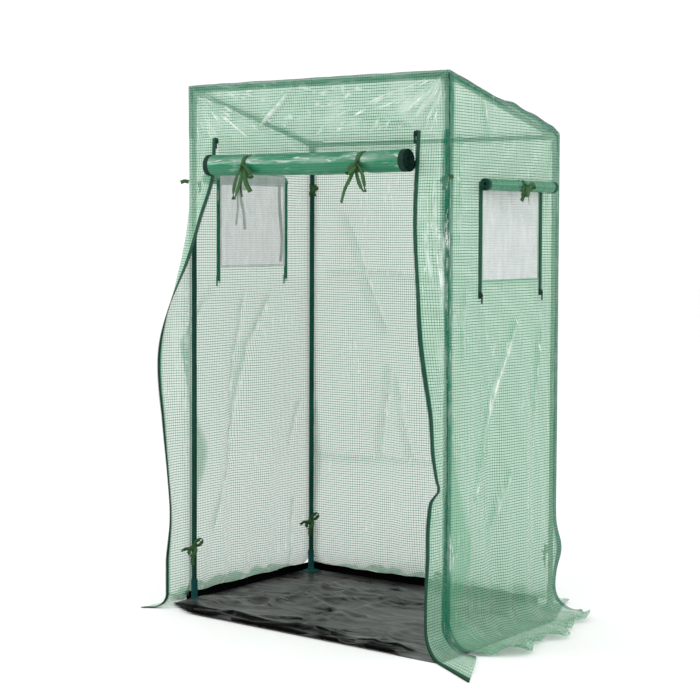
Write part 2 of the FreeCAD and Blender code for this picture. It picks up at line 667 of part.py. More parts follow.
# Side windows: net, two jamb tapes, and a flap rolled up outside above them, far enough out
# for the zip sliders to pass behind it. They are drawn for a wall that faces -Y, where X runs
# along the wall, and turned onto their own wall. The left window is sewn a little higher.
outer_face = wall_x + film
tape_place = size("net_width") / 2 + size("window_tape_gap")
tape_top = size("net_bottom") + size("net_height")
tape_bottom = size("net_bottom") - size("window_tape_extra")
flap_length = size("net_height") + size("window_flap_overlap")
window_face = wound_face(size("window_roll_radius"), size("window_roll_core"), flap_length)
window_roll_height = tape_top - size("window_roll_drop")
slider_depth = size("slider_thickness") + size("bridge_depth")
roll_stand = size("ribbon_thickness") + slider_depth + size("cloth_gap") * 2
window_axis_y = -(outer_face + roll_stand + size("window_roll_radius"))
roll_end = tape_place + size("window_tape_width") + size("window_roll_overhang")
for side, name, rise in ((-1, "left", size("left_window_rise")), (1, "right", 0)):
    turn = wall_frame(side, rise)
    shift = side * size(name + "_window_shift")
    feature(name + "_window_net", window_net(shift), turn)
    tapes = []
    for end in (-1, 1):
        near = shift + end * (tape_place + size("window_tape_width") / 2) - size("window_tape_width") / 2
        corner = Vector(near, -outer_face - size("ribbon_thickness"), tape_bottom)
        tapes.append(Part.makeBox(size("window_tape_width"), size("ribbon_thickness"),
                                  tape_top - tape_bottom, corner))
    feature(name + "_window_tapes", Part.makeCompound(tapes), turn)
    seam_bottom = tape_top + size("ribbon_thickness") + size("cloth_gap")
    seam_top = seam_bottom + size("window_seam")
    drape = [(0, seam_bottom), (0, seam_top), (film, seam_top), (film, seam_bottom + film),
             (roll_stand + film, window_roll_height), (roll_stand, window_roll_height)]
    places = [Vector(shift - roll_end, -(outer_face + out), z) for out, z in drape]
    flap = Part.Face(Part.makePolygon(places + places[:1])).extrude(Vector(2 * roll_end, 0, 0))
    feature(name + "_window_curtain", flap, turn)
    at_axis = Vector(shift, window_axis_y, window_roll_height)
    tape_edge = roll_end - size("window_tape_width")
    parts = [wound_solid(window_face, *span) for span in
             ((-tape_edge, tape_edge), (-roll_end, -tape_edge), (tape_edge, roll_end))]
    tie = roll_tie(size("window_roll_radius"), size(name + "_window_tail"))
    for shape in parts + [tie]:
        shape.translate(at_axis)
    feature(name + "_window_roll", parts[0], turn)
    feature(name + "_window_roll_tapes", Part.makeCompound(parts[1:]), turn)
    feature(name + "_window_tie", tie, turn)


def slider(label, angle, x, y, z):
    """Zip slider: a tapered body with a bridge in front; its origin is the body's back at mid height."""
    body = doc.addObject("PartDesign::Body", label)
    shell = sketch_on(body, "XZ_Plane", label + "_outline")
    wide = "Sizes.slider_width / 2"
    narrow = "Sizes.slider_width / 3"
    tall = "Sizes.slider_height / 2"
    outline(shell, [(f"-{wide}", f"-{tall}"), (wide, f"-{tall}"), (wide, "0"), (narrow, tall),
                    (f"-{narrow}", tall), (f"-{wide}", "0")])
    pad(body, shell, label + "_body", "Sizes.slider_thickness")
    arch = sketch_on(body, "YZ_Plane", label + "_arch")
    arch.setExpression("AttachmentOffset.Base.z", "-Sizes.bridge_width / 2")
    face = "-Sizes.slider_thickness"
    crown = "-(Sizes.slider_thickness + Sizes.bridge_depth)"
    reach = "Sizes.bridge_height / 2"
    inside = f"{crown} + Sizes.bridge_wire"
    clear = f"({reach} - Sizes.bridge_wire)"
    outline(arch, [(face, f"-{reach}"), (crown, f"-{reach}"), (crown, reach), (face, reach),
                   (face, clear), (inside, clear), (inside, f"-{clear}"), (face, f"-{clear}")])
    pad(body, arch, label + "_bridge", "Sizes.bridge_width")
    body.Placement = Placement(Vector(), Rotation(UP, angle))
    set_base(body, x, y, z)
    return keep(body, label)


def pull(label, angle, x, y, z):
    """Zip pull: a plate with a slot whose top bar lies under the bridge; its origin is the bar."""
    body = doc.addObject("PartDesign::Body", label)
    plate = sketch_on(body, "XZ_Plane", label + "_outline")
    plate.setExpression("AttachmentOffset.Base.z", "-Sizes.pull_thickness / 2")
    wide = "Sizes.pull_width / 2"
    slot = "Sizes.pull_slot / 2"
    bar = "Sizes.pull_bar / 2"
    tip = "-Sizes.pull_length"
    foot = "-Sizes.bridge_height"
    outline(plate, [(f"-{wide}", tip), (wide, tip), (wide, bar), (f"-{wide}", bar)])
    outline(plate, [(f"-{slot}", foot), (slot, foot), (slot, f"-{bar}"), (f"-{slot}", f"-{bar}")])
    pad(body, plate, label + "_plate", "Sizes.pull_thickness")
    body.Placement = Placement(Vector(), Rotation(UP, angle))
    set_base(body, x, y, z)
    return keep(body, label)


# Zip sliders: the door's wait under the header, the windows' at the lower ends of their tapes
BAR = "(Sizes.slider_thickness + (Sizes.bridge_depth - Sizes.bridge_wire) / 2)"
for side, name, rise in ((-1, "left", "Sizes.left_window_rise"), (1, "right", "0")):
    x = f"{side} * ({DOOR_HALF} - Sizes.cloth_gap - Sizes.slider_width / 2)"
    back = f"(-{WALL_Y} - Sizes.film_thickness / 2 + Sizes.slider_thickness / 2)"
    z = f"{HEADER} - Sizes.cloth_gap - Sizes.slider_height / 2"
    slider(name + "_door_slider", 0, x, back, z)
    pull(name + "_door_pull", 0, x, f"{back} - {BAR}", z)
    stand = f"({WALL_X} + Sizes.film_thickness + Sizes.ribbon_thickness + Sizes.cloth_gap)"
    for end, place in ((-1, "front"), (1, "back")):
        along = f"Sizes.{name}_window_shift + {end} * (Sizes.net_width / 2 + Sizes.window_tape_gap"
        along = f"{along} + Sizes.window_tape_width / 2)"
        z = f"Sizes.net_bottom - Sizes.window_tape_extra + Sizes.slider_height / 2 + {rise}"
        slider(f"{name}_window_{place}_slider", 90 * side, f"{side} * {stand}", along, z)
        pull(f"{name}_window_{place}_pull", 90 * side, f"{side} * ({stand} + {BAR})", along, z)


# Post ties: a ribbon with a bow at two heights on each post, turned to the middle of the house
post_ties = []
for side in (-1, 1):
    for end in (-1, 1):
        for height in (size("lower_tie_height"), size("back_height") - size("upper_tie_drop")):
            tie = bow(size("post_tail"))
            tie.translate(Vector(0, -size("tube_diameter") / 2, 0))
            tie = tie.fuse(strap(size("tube_diameter") / 2, UP)).removeSplitter()
            facing = math.degrees(math.atan2(-end, -side)) + 90
            tie.rotate(Vector(), UP, facing)
            tie.translate(Vector(side * half_width, end * half_depth, height))
            post_ties.append(tie)
feature("post_ties", Part.makeCompound(post_ties))

# Check every object and shape, then write one file for each sub-part
doc.recompute()
for item in doc.Objects:
    if "Invalid" in item.State or "Error" in item.State:
        raise RuntimeError(f"{item.Label} did not build: {item.State}")
for item in subparts:
    if item.Shape.isNull() or not item.Shape.isValid():
        raise RuntimeError(f"{item.Label} has no valid shape")
os.makedirs("parts", exist_ok=True)
for item in subparts:
    item.Shape.exportStep(f"parts/{item.Label}.step")
print(f"{len(subparts)} sub-parts written")
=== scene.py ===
import math
import bmesh
import bpy
import numpy as np
from mathutils import Matrix, Vector, noise


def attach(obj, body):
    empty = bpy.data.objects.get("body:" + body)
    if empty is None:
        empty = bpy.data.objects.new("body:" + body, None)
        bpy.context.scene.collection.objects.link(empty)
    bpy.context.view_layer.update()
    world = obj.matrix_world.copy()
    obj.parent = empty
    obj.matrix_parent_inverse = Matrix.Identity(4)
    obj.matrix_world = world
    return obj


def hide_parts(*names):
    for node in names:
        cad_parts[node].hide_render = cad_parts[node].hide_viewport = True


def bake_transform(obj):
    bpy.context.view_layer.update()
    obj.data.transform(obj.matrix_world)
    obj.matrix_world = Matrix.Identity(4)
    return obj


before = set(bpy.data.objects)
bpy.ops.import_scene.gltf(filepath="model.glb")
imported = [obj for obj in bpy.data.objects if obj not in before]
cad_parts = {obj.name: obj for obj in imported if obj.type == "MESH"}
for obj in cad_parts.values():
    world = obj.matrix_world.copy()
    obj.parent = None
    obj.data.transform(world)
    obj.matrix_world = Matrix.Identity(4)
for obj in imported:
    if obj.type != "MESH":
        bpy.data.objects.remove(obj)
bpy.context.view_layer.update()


# Tube frame: post tubes, two rails and two sloping roof rails of thin steel tube, plugged
# together at half height and in the corners. Powder coated dark green, a little uneven and scuffed.
class Finish:
    """A material in the making: one shader, and calls that set nodes before it."""

    def __init__(self, name):
        self.material = bpy.data.materials.new(name)
        self.material.use_nodes = True
        self.tree = self.material.node_tree

    def fill(self, node, inputs):
        for key, value in inputs.items():
            if isinstance(value, bpy.types.Node):
                value = value.outputs[0]
            if isinstance(value, bpy.types.NodeSocket):
                self.tree.links.new(value, node.inputs[key])
            else:
                node.inputs[key].default_value = value
        return node

    def add(self, kind, inputs, **settings):
        node = self.tree.nodes.new("ShaderNode" + kind)
        for key, value in settings.items():
            setattr(node, key, value)
        return self.fill(node, inputs)

    def place(self):
        """Where a point is in the house, in metres."""
        return self.add("TexCoord", {}).outputs["Object"]

    def on_cut(self, layer="Cut"):
        """Where a point is on the flat cloth, in metres."""
        return self.add("UVMap", {}, uv_map=layer).outputs["UV"]

    def mark(self, name):
        """A mark that the mesh carries at its points."""
        return self.add("Attribute", {}, attribute_name=name).outputs["Fac"]

    def cloud(self, at, scale, detail, **more):
        return self.add("TexNoise", {"Vector": at, "Scale": scale, "Detail": detail, **more})

    def stretched(self, at, scale, turn=0):
        """Coordinates turned by degrees and drawn out."""
        return self.add("Mapping", {"Vector": at, "Rotation": (0, 0, math.radians(turn)), "Scale": scale})

    def bent(self, at, scale, detail, by):
        """Coordinates led astray by a cloudy pattern."""
        stray = self.cloud(at, scale, detail).outputs["Color"]
        stray = self.add("VectorMath", {0: stray, 1: (by, by, 0)}, operation="MULTIPLY")
        return self.add("VectorMath", {0: at, 1: stray}, operation="ADD")

    def work(self, operation, *values, clamp=False):
        return self.add("Math", dict(enumerate(values)), operation=operation, use_clamp=clamp)

    def spread(self, value, low, high, to_low, to_high):
        """Value between two limits, carried over to two others."""
        limits = {"From Min": low, "From Max": high, "To Min": to_low, "To Max": to_high}
        return self.add("MapRange", {"Value": value, **limits})

    def threads(self, along, pitch, half_width, fade):
        """1 on threads at even steps, fading to 0 beside them."""
        near = self.work("PINGPONG", self.work("MULTIPLY", along, 1 / pitch), 0.5)
        return self.spread(near, half_width, half_width + fade, 1, 0)

    def tones(self, value, *stops):
        """Colour ramp over a value, from (position, red, green, blue) stops."""
        node = self.add("ValToRGB", {"Fac": value})
        for element, stop in zip(node.color_ramp.elements, stops):
            element.position = stop[0]
            element.color = (*stop[1:], 1)
        return node

    def mix(self, share, one, other):
        return self.add("MixRGB", {"Fac": share, "Color1": one, "Color2": other})

    def bump(self, height, strength, distance):
        return self.add("Bump", {"Height": height, "Strength": strength, "Distance": distance})

    def done(self, inputs):
        """Set the shader's inputs and give the material."""
        self.fill(self.tree.nodes["Principled BSDF"], inputs)
        return self.material


def hard_finish(name, dark, light, wear_and_highlight, grain, gloss):
    """Coated steel or moulded plastic: cloudy tone, fine grain, paler scuffs."""
    make = Finish(name)
    place = make.place()
    scuff = make.cloud(place, 70, 8, Roughness=0.75)
    tone = make.tones(make.cloud(place, 9, 5), (0.32, *dark), (0.68, *light))
    return make.done({"Base Color": make.mix(make.spread(scuff, 0.6, 0.78, 0, 0.55), tone, (*wear_and_highlight, 1)),
                      "Roughness": make.spread(scuff, 0.3, 0.7, gloss - 0.07, gloss + 0.12),
                      "Normal": make.bump(make.cloud(place, grain, 2), 0.2, 0.0005),
                      "Specular IOR Level": 0.1})


def finish_nodes(material, *names):
    """Give CAD nodes that keep their shape a finish."""
    for name in names:
        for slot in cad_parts[name].material_slots:
            slot.material = material


CORNERS = ("front_left", "front_right", "back_left", "back_right")
tube_coating = hard_finish("tube_coating", dark=(0.001, 0.04, 0.024), light=(0.003, 0.064, 0.04),
                           wear_and_highlight=(0.02, 0.11, 0.075), grain=700, gloss=0.3)
finish_nodes(tube_coating, "front_top_rail", "back_eave_rail", "left_roof_rail", "right_roof_rail")
for corner in CORNERS:
    finish_nodes(tube_coating, corner + "_post_lower", corner + "_post_upper")


# Corner connectors and feet: injection-moulded plastic, satin and faintly grained. The connectors
# take three tubes each, the feet are flared cups that the posts stand in.
connector_plastic = hard_finish("connector_plastic", dark=(0.008, 0.045, 0.033),
                                light=(0.014, 0.065, 0.048), wear_and_highlight=(0.04, 0.12, 0.1), grain=420, gloss=0.42)
foot_plastic = hard_finish("foot_plastic", dark=(0.004, 0.055, 0.052), light=(0.008, 0.085, 0.08),
                           wear_and_highlight=(0.05, 0.16, 0.15), grain=420, gloss=0.4)
for corner in CORNERS:
    finish_nodes(connector_plastic, corner + "_connector")
    finish_nodes(foot_plastic, corner + "_foot")


# Ground sheet: a black plastic sheet laid under the feet, with its left and back edges turned up
# and its door edge folded over. It still shows the creases it was packed in. Its sheen and the
# highlights on its creases are painted into its colour, and its rims and fold are painted dark as shade.
SHEET_TOP = 0.0009
SHEET_RIM = 0.020
SHEET_LEFT, SHEET_BACK = -0.527, 0.351
BACK_RIM_END = 0.4261
SHEET_OUTLINE = ((-0.527, -0.382), (-0.396, -0.458), (0.588, -0.492), (0.588, 0.174), (0.492, 0.417),
                 (0.426, 0.351), (0.426, 0.371), (-0.527, 0.371), (-0.527, 0.351), (-0.547, 0.351),
                 (-0.547, -0.316), (-0.527, -0.316))
SHEET_SQUARE = 0.009
RIM_BEND = 0.003
# Insets from the door edge where the sheet bends: the rolled edge, and the end of the fold
HEM_CUTS = (0.004, 0.009, 0.014, 0.02, 0.072, 0.078)
FOLD_OVER, FOLD_END_X = 0.078, 0.44
# The sheet is heaped against the front left foot
HEAP_X, HEAP_Y = -0.462, -0.285
# Creases: a point on each, its direction in degrees, its height and its half width
SHEET_CREASES = ((-0.27, 0, 91, 0.012, 0.03), (0.02, 0, 88, 0.01, 0.028), (0.29, 0, 92, 0.012, 0.03),
                 (0, -0.16, 1, 0.012, 0.03), (0, 0.1, -2, 0.01, 0.026), (0, -0.39, -2, 0.01, 0.024),
                 (-0.1, 0.02, 38, 0.009, 0.024), (0.17, -0.28, -31, 0.011, 0.024),
                 (-0.05, -0.3, 24, 0.01, 0.022), (-0.36, -0.22, 57, 0.009, 0.022),
                 (0.33, 0.12, 24, 0.008, 0.02), (0.3, -0.35, 12, 0.01, 0.02))
# Half width of the painted highlight line along each crease
CREASE_MARK = 0.011


def ground_film():
    """Black film in flat facets between thin creases, with long soft wrinkles across them."""
    make = Finish("ground_film")
    place = make.place()
    cloud = make.cloud(place, 5, 7, Roughness=0.6)
    # tilt is painted sheen and shade: each facet is made lighter or darker as if it caught the light
    # differently
    tilt = make.spread(cloud, 0.3, 0.7, 0.2, 0.5)
    wear_and_highlight = make.spread(make.mark("Fold"), 0.3, 1, 0, 0.5)
    bent = make.bent(place, 6, 3, 0.16)

    def paint_highlight(line, low, high, most):
        """Add a painted highlight line, only where the film is clouded."""
        clouded = make.spread(cloud, low, high, 0, most)
        return make.work("MAXIMUM", wear_and_highlight, make.work("MULTIPLY", line, clouded))

    for turn, stretch in ((14, (4, 13, 1)), (-38, (5, 16, 1))):
        cells = {"Vector": make.stretched(bent, stretch, turn), "Scale": 1}
        facet = make.add("TexVoronoi", cells, voronoi_dimensions="2D").outputs["Color"]
        border = make.add("TexVoronoi", cells, voronoi_dimensions="2D", feature="DISTANCE_TO_EDGE")
        # hollow is painted shade along the facets' borders
        hollow = make.work("MULTIPLY", make.spread(border, 0.01, 0.1, 1, 0),
                           make.spread(cloud, 0.4, 0.56, -0.24, 0))
        tilt = make.work("ADD", make.work("MULTIPLY_ADD", facet, 0.2, tilt), hollow)
        wear_and_highlight = paint_highlight(make.spread(border, 0, 0.035, 1, 0), 0.5, 0.6, 0.5)
    for turn, stretch, weight in ((8, (2, 13, 1), 0.22), (62, (2.5, 12, 1), 0.2)):
        wrinkle = make.cloud(make.stretched(place, stretch, turn), 1, 1, Distortion=0.2)
        # Each wrinkle is painted as a bright ridge beside a sudden dark step: painted highlight and shade
        climb = make.work("POWER", make.work("FRACT", make.work("MULTIPLY", wrinkle, 4)), 3.5)
        tilt = make.work("MULTIPLY_ADD", climb, weight, tilt)
        wear_and_highlight = paint_highlight(make.spread(climb, 0.4, 1, 0, 1), 0.42, 0.58, 0.7)
    # The rims and the folded-over edge are painted near black as shade and get no painted highlights
    hem = make.mark("Edge_shade")
    wear_and_highlight = make.work("MULTIPLY", wear_and_highlight, make.spread(hem, 0, 1, 1, 0))
    tilt = make.work("MULTIPLY_ADD", hem, -0.7, tilt)
    tone = make.tones(tilt, (0.22, 0.0015, 0.0015, 0.0015), (0.9, 0.052, 0.052, 0.052))
    height = make.work("MULTIPLY_ADD", make.cloud(place, 900, 1), 0.02, tilt)
    # Base colour from near black to grey by the painted sheen and shade, pale grey where highlights are
    # painted
    return make.done({"Base Color": make.mix(wear_and_highlight, tone, (0.2, 0.203, 0.2, 1)),
                      "Roughness": make.spread(cloud, 0.3, 0.7, 0.24, 0.42),
                      "Normal": make.bump(height, 0.6, 0.008),
                      "Specular IOR Level": make.spread(tilt, 0.2, 1, 0.01, 0.6)})


def new_piece(name, mesh, material):
    """Object for a finished mesh, smooth and with its material."""
    mesh.materials.clear()
    mesh.materials.append(material)
    mesh.shade_smooth()
    piece = bpy.data.objects.new(name, mesh)
    bpy.context.scene.collection.objects.link(piece)
    return piece


def carry(piece, body, node=None):
    """Let a piece ride on a body, and stand for a CAD node."""
    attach(piece, body)
    if node:
        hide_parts(node)


def clamped(number):
    """A number held between 0 and 1."""
    return max(0, min(1, number))


def ridged(x, y, scale, seed):
    """Sharp ridges between soft hollows, over the ground."""
    return noise.ridged_multi_fractal((x * scale, y * scale, seed), 1, 2, 2, 1, 2) / 2


def soft_noise(x, y, scale, seed):
    return noise.noise((x * scale, y * scale, seed))


def ground_shape():
    """The sheet's outline cut into small squares, creased, and folded up at its two rims."""
    work = bmesh.new()
    work.faces.new([work.verts.new((x, y, 0)) for x, y in SHEET_OUTLINE])
    to_right, to_back = Vector((1, 0, 0)), Vector((0, 1, 0))
    hem_start = Vector((*SHEET_OUTLINE[1], 0))
    door_side = (Vector((*SHEET_OUTLINE[2], 0)) - hem_start).normalized()
    hem_way = Vector((-door_side.y, door_side.x, 0))
    planes = [(to_right * at, to_right) for at in np.arange(-0.54, 0.58, SHEET_SQUARE)]
    planes += [(to_back * at, to_back) for at in np.arange(-0.48, 0.41, SHEET_SQUARE)]
    planes += [(to_right * at, to_right) for at in (SHEET_LEFT, SHEET_LEFT - RIM_BEND)]
    planes += [(to_back * at, to_back) for at in (SHEET_BACK, SHEET_BACK + RIM_BEND)]
    planes += [(hem_start + hem_way * inset, hem_way) for inset in HEM_CUTS]
    for point, normal in planes:
        parts = list(work.verts) + list(work.edges) + list(work.faces)
        bmesh.ops.bisect_plane(work, geom=parts, plane_co=point, plane_no=normal)
    # Fold marks the crease lines where highlights are painted; the second layer marks where dark shade is
    # painted
    marks = work.verts.layers.float.new("Fold")
    edge_shades = work.verts.layers.float.new("Edge_shade")
    for vert in work.verts:
        x, y, _ = vert.co
        inset = (vert.co - hem_start).dot(hem_way)
        folded = clamped((FOLD_END_X - x + 0.4 * inset) / 0.02)
        over = folded * clamped((FOLD_OVER - inset + 0.006 * noise.noise((x * 7, 1, 4))) / 0.006)
        hem = 0.008 * math.exp(-((inset - 0.009) / 0.007) ** 2) * folded + 0.004 * over
        by_foot = math.exp(-((x - HEAP_X) / 0.06) ** 2 - ((y - HEAP_Y) / 0.09) ** 2)
        heap = by_foot * (0.010 + 0.014 * ridged(x, y, 14, 2))
        room = clamped(min(x + 0.46, 0.46 - x, 0.29 - y, y + 0.47) / 0.05)
        lift = 0.004 * (1 + soft_noise(x, y, 9, 3)) / 2
        lift += 0.0035 * ridged(x, y, 6, 5)
        for px, py, turn, height, half in SHEET_CREASES:
            angle = math.radians(turn)
            off = (x - px) * math.sin(angle) - (y - py) * math.cos(angle)
            off = abs(off + 0.006 * soft_noise(x, y, 5, turn))
            strength = clamped(0.5 + noise.noise((x * 4 + turn, y * 4, 1)))
            lift += max(0, 1 - off / half) * height * strength
            vert[marks] = max(vert[marks], max(0, 1 - off / CREASE_MARK) * strength)
        # A painted highlight line where the folded-over edge ends
        fold_end_highlight = folded * max(0, 1 - abs(inset - 0.08) / 0.01) * (0.5 + soft_noise(x, y, 9, 7))
        vert[marks] = max(vert[marks], fold_end_highlight)
        at_back = x < BACK_RIM_END
        # The turned-up rims, and more lightly the folded-over edge, are marked to be painted dark as shade
        vert[edge_shades] = 1 if x < SHEET_LEFT or (y > SHEET_BACK and at_back) else 0.6 * over
        height = SHEET_TOP - 0.0004 + lift * room + hem + heap
        wave = 0.006 * soft_noise(x, y, 16, 8)
        stand = 1.25 + 0.35 * soft_noise(x, y, 11, 6)
        if x < SHEET_LEFT - 0.0001:
            up = SHEET_LEFT - x
            vert.co = (SHEET_LEFT + 0.0005 + (wave - 0.002) * up / SHEET_RIM, y, height + up * stand)
        elif y > SHEET_BACK + 0.0001 and at_back:
            up = y - SHEET_BACK
            vert.co = (x, SHEET_BACK - 0.0005 + (wave + 0.002) * up / SHEET_RIM, height + up * stand)
        else:
            vert.co.z = height
    bmesh.ops.recalc_face_normals(work, faces=work.faces)
    if sum(face.normal.z for face in work.faces) < 0:
        bmesh.ops.reverse_faces(work, faces=work.faces)
    mesh = bpy.data.meshes.new("ground_sheet_film")
    work.to_mesh(mesh)
    work.free()
    return mesh


ground = new_piece("ground_sheet_film", ground_shape(), ground_film())
carry(ground, "house", "ground_sheet")


# Roof and header: flat panels of the cover, clear green film laminated over a grid of threads.
# They are sewn to each other along the front top rail; the roof sags a little between the rails.
THREAD_PITCH = 0.0085
CELL_CLEAR, THREAD_GREEN = (0.47, 0.82, 0.58, 1), (0.009, 0.11, 0.05, 1)
WOUND_CELL, WOUND_THREAD = (0.012, 0.2, 0.092, 1), (0.005, 0.12, 0.055, 1)
# Deeper green of doubled film on seams, also painted as shade on one side of each crease
SEAM_AND_SHADE_GREEN = (0.02, 0.26, 0.11, 1)
# Painted shade where the film lies over a tube or tape
TUBE_SHADE_GREEN = (0.002, 0.13, 0.07, 1)
GLINT_WHITE = (0.95, 0.99, 0.97, 1)
WALL_X, WALL_Y = 0.5035, 0.3275
ROOF_X, ROOF_Y = 0.504, 0.328
HEADER_Z = 1.525
POST_X, POST_Y = 0.492, 0.316
ROOF_FRONT_Z = 1.6938
ROOF_SLOPE = (1.682 - 1.533) / (2 * POST_Y)
# Creases of a panel: from, to, lift and half width
ROOF_CREASES = ((-0.48, 0, 0.48, 0.01, 0.005, 0.03), (-0.02, -0.3, 0.01, 0.3, 0.005, 0.03),
                (0.3, -0.29, 0.42, 0.28, 0.006, 0.025))
HEADER_CREASES = ((-0.07, 1.675, -0.215, 1.54, 0.009, 0.02), (-0.02, 1.66, -0.11, 1.53, 0.004, 0.018),
                  (0.49, 1.68, 0.30, 1.545, 0.006, 0.022), (0.49, 1.68, 0.37, 1.54, 0.006, 0.02),
                  (0.495, 1.68, 0.43, 1.54, 0.005, 0.016), (0.12, 1.6, 0.36, 1.55, 0.004, 0.016))
CREASE_LINE = 0.018


def film_finish(name, across=None, clear=True):
    """Film over threads. The grid follows the film's own cut, or an Object axis on a curtain.

    Clear film lets the background through between its threads, wound film is solid. White glints and
    sheen are painted into its colour, as is shade over tubes and beside creases.
    """
    make = Finish(name)
    if across is None:
        cut, drawn = make.on_cut(), make.on_cut("Crease")
    else:
        axes = make.add("SeparateXYZ", {"Vector": make.place()}).outputs
        cut = drawn = make.add("CombineXYZ", {"X": axes[across], "Y": axes["Z"]}).outputs[0]
    wavy = make.add("SeparateXYZ", {"Vector": make.bent(cut, 14, 2, 0.003)}).outputs
    thread = make.work("MAXIMUM", make.threads(wavy["X"], THREAD_PITCH, 0.05, 0.06),
                       make.threads(wavy["Y"], THREAD_PITCH, 0.085, 0.06))

    # Creases: painted white hairline glints the way the film is drawn, broken where it was folded, with
    #     # painted sheen and sharp painted glints on marked folds
    crinkle = make.mark("Crinkle")
    patch = make.cloud(cut, 4.2, 4)
    strands = make.cloud(make.stretched(drawn, (26, 3, 1)), 1, 5, Distortion=0.9)
    ridge = make.work("ABSOLUTE", make.work("SUBTRACT", strands, 0.5))
    glints = make.cloud(make.stretched(drawn, (75, 18, 1)), 1, 3)
    folded = make.work("MAXIMUM", make.spread(patch, 0.52, 0.7, 0, 0.5), crinkle, clamp=True)
    folded = make.work("MULTIPLY", make.spread(glints, 0.46, 0.62, 0, 1), folded)
    hairline = make.work("MULTIPLY", make.spread(ridge, 0, 0.036, 1, 0), folded)
    painted_sheen = make.work("MULTIPLY", make.spread(make.cloud(drawn, 9, 3), 0.46, 0.72, 0, 0.3),
                     make.spread(crinkle, 0, 1, 0.05, 1))
    sharp = make.work("MULTIPLY", make.spread(crinkle, 1, 2, 0, 1), make.spread(glints, 0.36, 0.56, 0.3, 1))
    white = make.work("MAXIMUM", make.work("MAXIMUM", hairline, painted_sheen), sharp)
    if not clear:
        white = make.spread(white, 0, 1, 0, 0.7)

    dense, shade = make.mark("Dense"), make.mark("Shade")
    colour = make.mix(thread, *((CELL_CLEAR, THREAD_GREEN) if clear else (WOUND_CELL, WOUND_THREAD)))
    # Doubled film and painted crease shade deepen the green; painted shade darkens it over tubes
    colour = make.mix(make.spread(dense, 0, 1, 0, 0.95), colour, SEAM_AND_SHADE_GREEN)
    colour = make.mix(make.spread(shade, 0, 1, 0, 0.92), colour, TUBE_SHADE_GREEN)
    height = make.work("ADD", strands, make.spread(glints, 0, 1, 0, 0.12))
    rough = (0.16, 0.3) if clear else (0.26, 0.4)
    # The painted glints and sheen whiten the base colour, and are opaque on clear film
    inputs = {"Base Color": make.mix(white, colour, GLINT_WHITE), "Normal": make.bump(height, 0.6, 0.01),
              "Roughness": make.spread(patch, 0.3, 0.7, *rough),
              "Specular IOR Level": make.spread(shade, 0, 1, 0.14, 0.04) if clear else 0.4}
    if clear:
        solid = make.spread(thread, 0, 1, 0.4, 0.88)
        for mark, more in ((dense, 0.3), (shade, 0.24)):
            solid = make.work("ADD", solid, make.spread(mark, 0, 1, 0, more), clamp=True)
        inputs["Alpha"] = make.work("MAXIMUM", solid, white)
    return make.done(inputs)


def unit(values):
    """Values held between 0 and 1, over a grid."""
    return np.clip(values, 0, 1)


def near_edge(distance, width):
    """1 at an edge, fading to 0 over a width."""
    return unit(1 - distance / width)


def sheet_grid(across, along):
    """Coordinates over a sheet, from (first, last, count) each way."""
    return np.meshgrid(np.linspace(*across), np.linspace(*along))


def joined(*axes):
    """Coordinates put together, one point in each place."""
    return np.stack(np.broadcast_arrays(*axes), -1)


def grid_piece(name, places, cut, material, outward, gone=None, crease=None, **marks):
    """Single layer over a grid of places. cut holds the same points on the flat film, outward is
    the way its faces look, gone leaves out squares and crease holds coordinates across and along the
    film's creases. Marks are doubled film on seams with painted shade beside creases, painted shade
    over tubes, and painted glints and sheen, past 1 on a sharp fold."""
    rows, columns = places.shape[:2]
    index = np.arange(rows * columns).reshape(rows, columns)
    quads = joined(index[:-1, :-1], index[:-1, 1:], index[1:, 1:], index[1:, :-1])
    quads = quads.reshape(-1, 4) if gone is None else quads[~gone]
    points, flat = places.reshape(-1, 3), cut.reshape(-1, 2)
    normals = np.cross(points[quads[:, 2]] - points[quads[:, 0]], points[quads[:, 3]] - points[quads[:, 1]])
    if (normals @ np.array(outward)).sum() < 0:
        quads = quads[:, ::-1]
    used, quads = np.unique(quads, return_inverse=True)
    quads = quads.reshape(-1, 4)
    mesh = bpy.data.meshes.new(name)
    mesh.from_pydata(points[used].tolist(), [], quads.tolist())
    for layer, at in (("Cut", flat), ("Crease", flat if crease is None else crease.reshape(-1, 2))):
        mesh.uv_layers.new(name=layer).data.foreach_set("uv", at[used][quads].ravel())
    for mark in ("dense", "shade", "crinkle"):
        values = marks[mark].ravel()[used] if mark in marks else np.zeros(len(used))
        mesh.attributes.new(mark.capitalize(), "FLOAT", "POINT").data.foreach_set("value", values)
    corners = flat[used][quads]
    one, two = corners[:, 2] - corners[:, 0], corners[:, 3] - corners[:, 1]
    size = np.ptp(flat[used], axis=0)
    area = np.abs(one[:, 0] * two[:, 1] - one[:, 1] * two[:, 0]).sum() / 2
    return new_piece(name, mesh, material), size, min(area, size[0] * size[1])


def sew_in(made, node, body="house"):
    """Place a sheet for its CAD node, on a body when one is given."""
    piece, size, area = made
    if body:
        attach(piece, body)
    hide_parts(node)


def rumple(a, b, seed):
    """Soft unevenness between 0 and 1 over two coordinates."""
    values = [noise.noise((p, q, seed)) + 0.5 * noise.noise((p * 2.3, q * 2.3, seed + 9))
              for p, q in zip(a.ravel(), b.ravel())]
    return unit(0.5 + 0.6 * np.array(values)).reshape(a.shape)


def over_tube(distance):
    """1 where the film lies on a tube along its edge, 0 past it."""
    return unit((0.026 - distance) / 0.008)


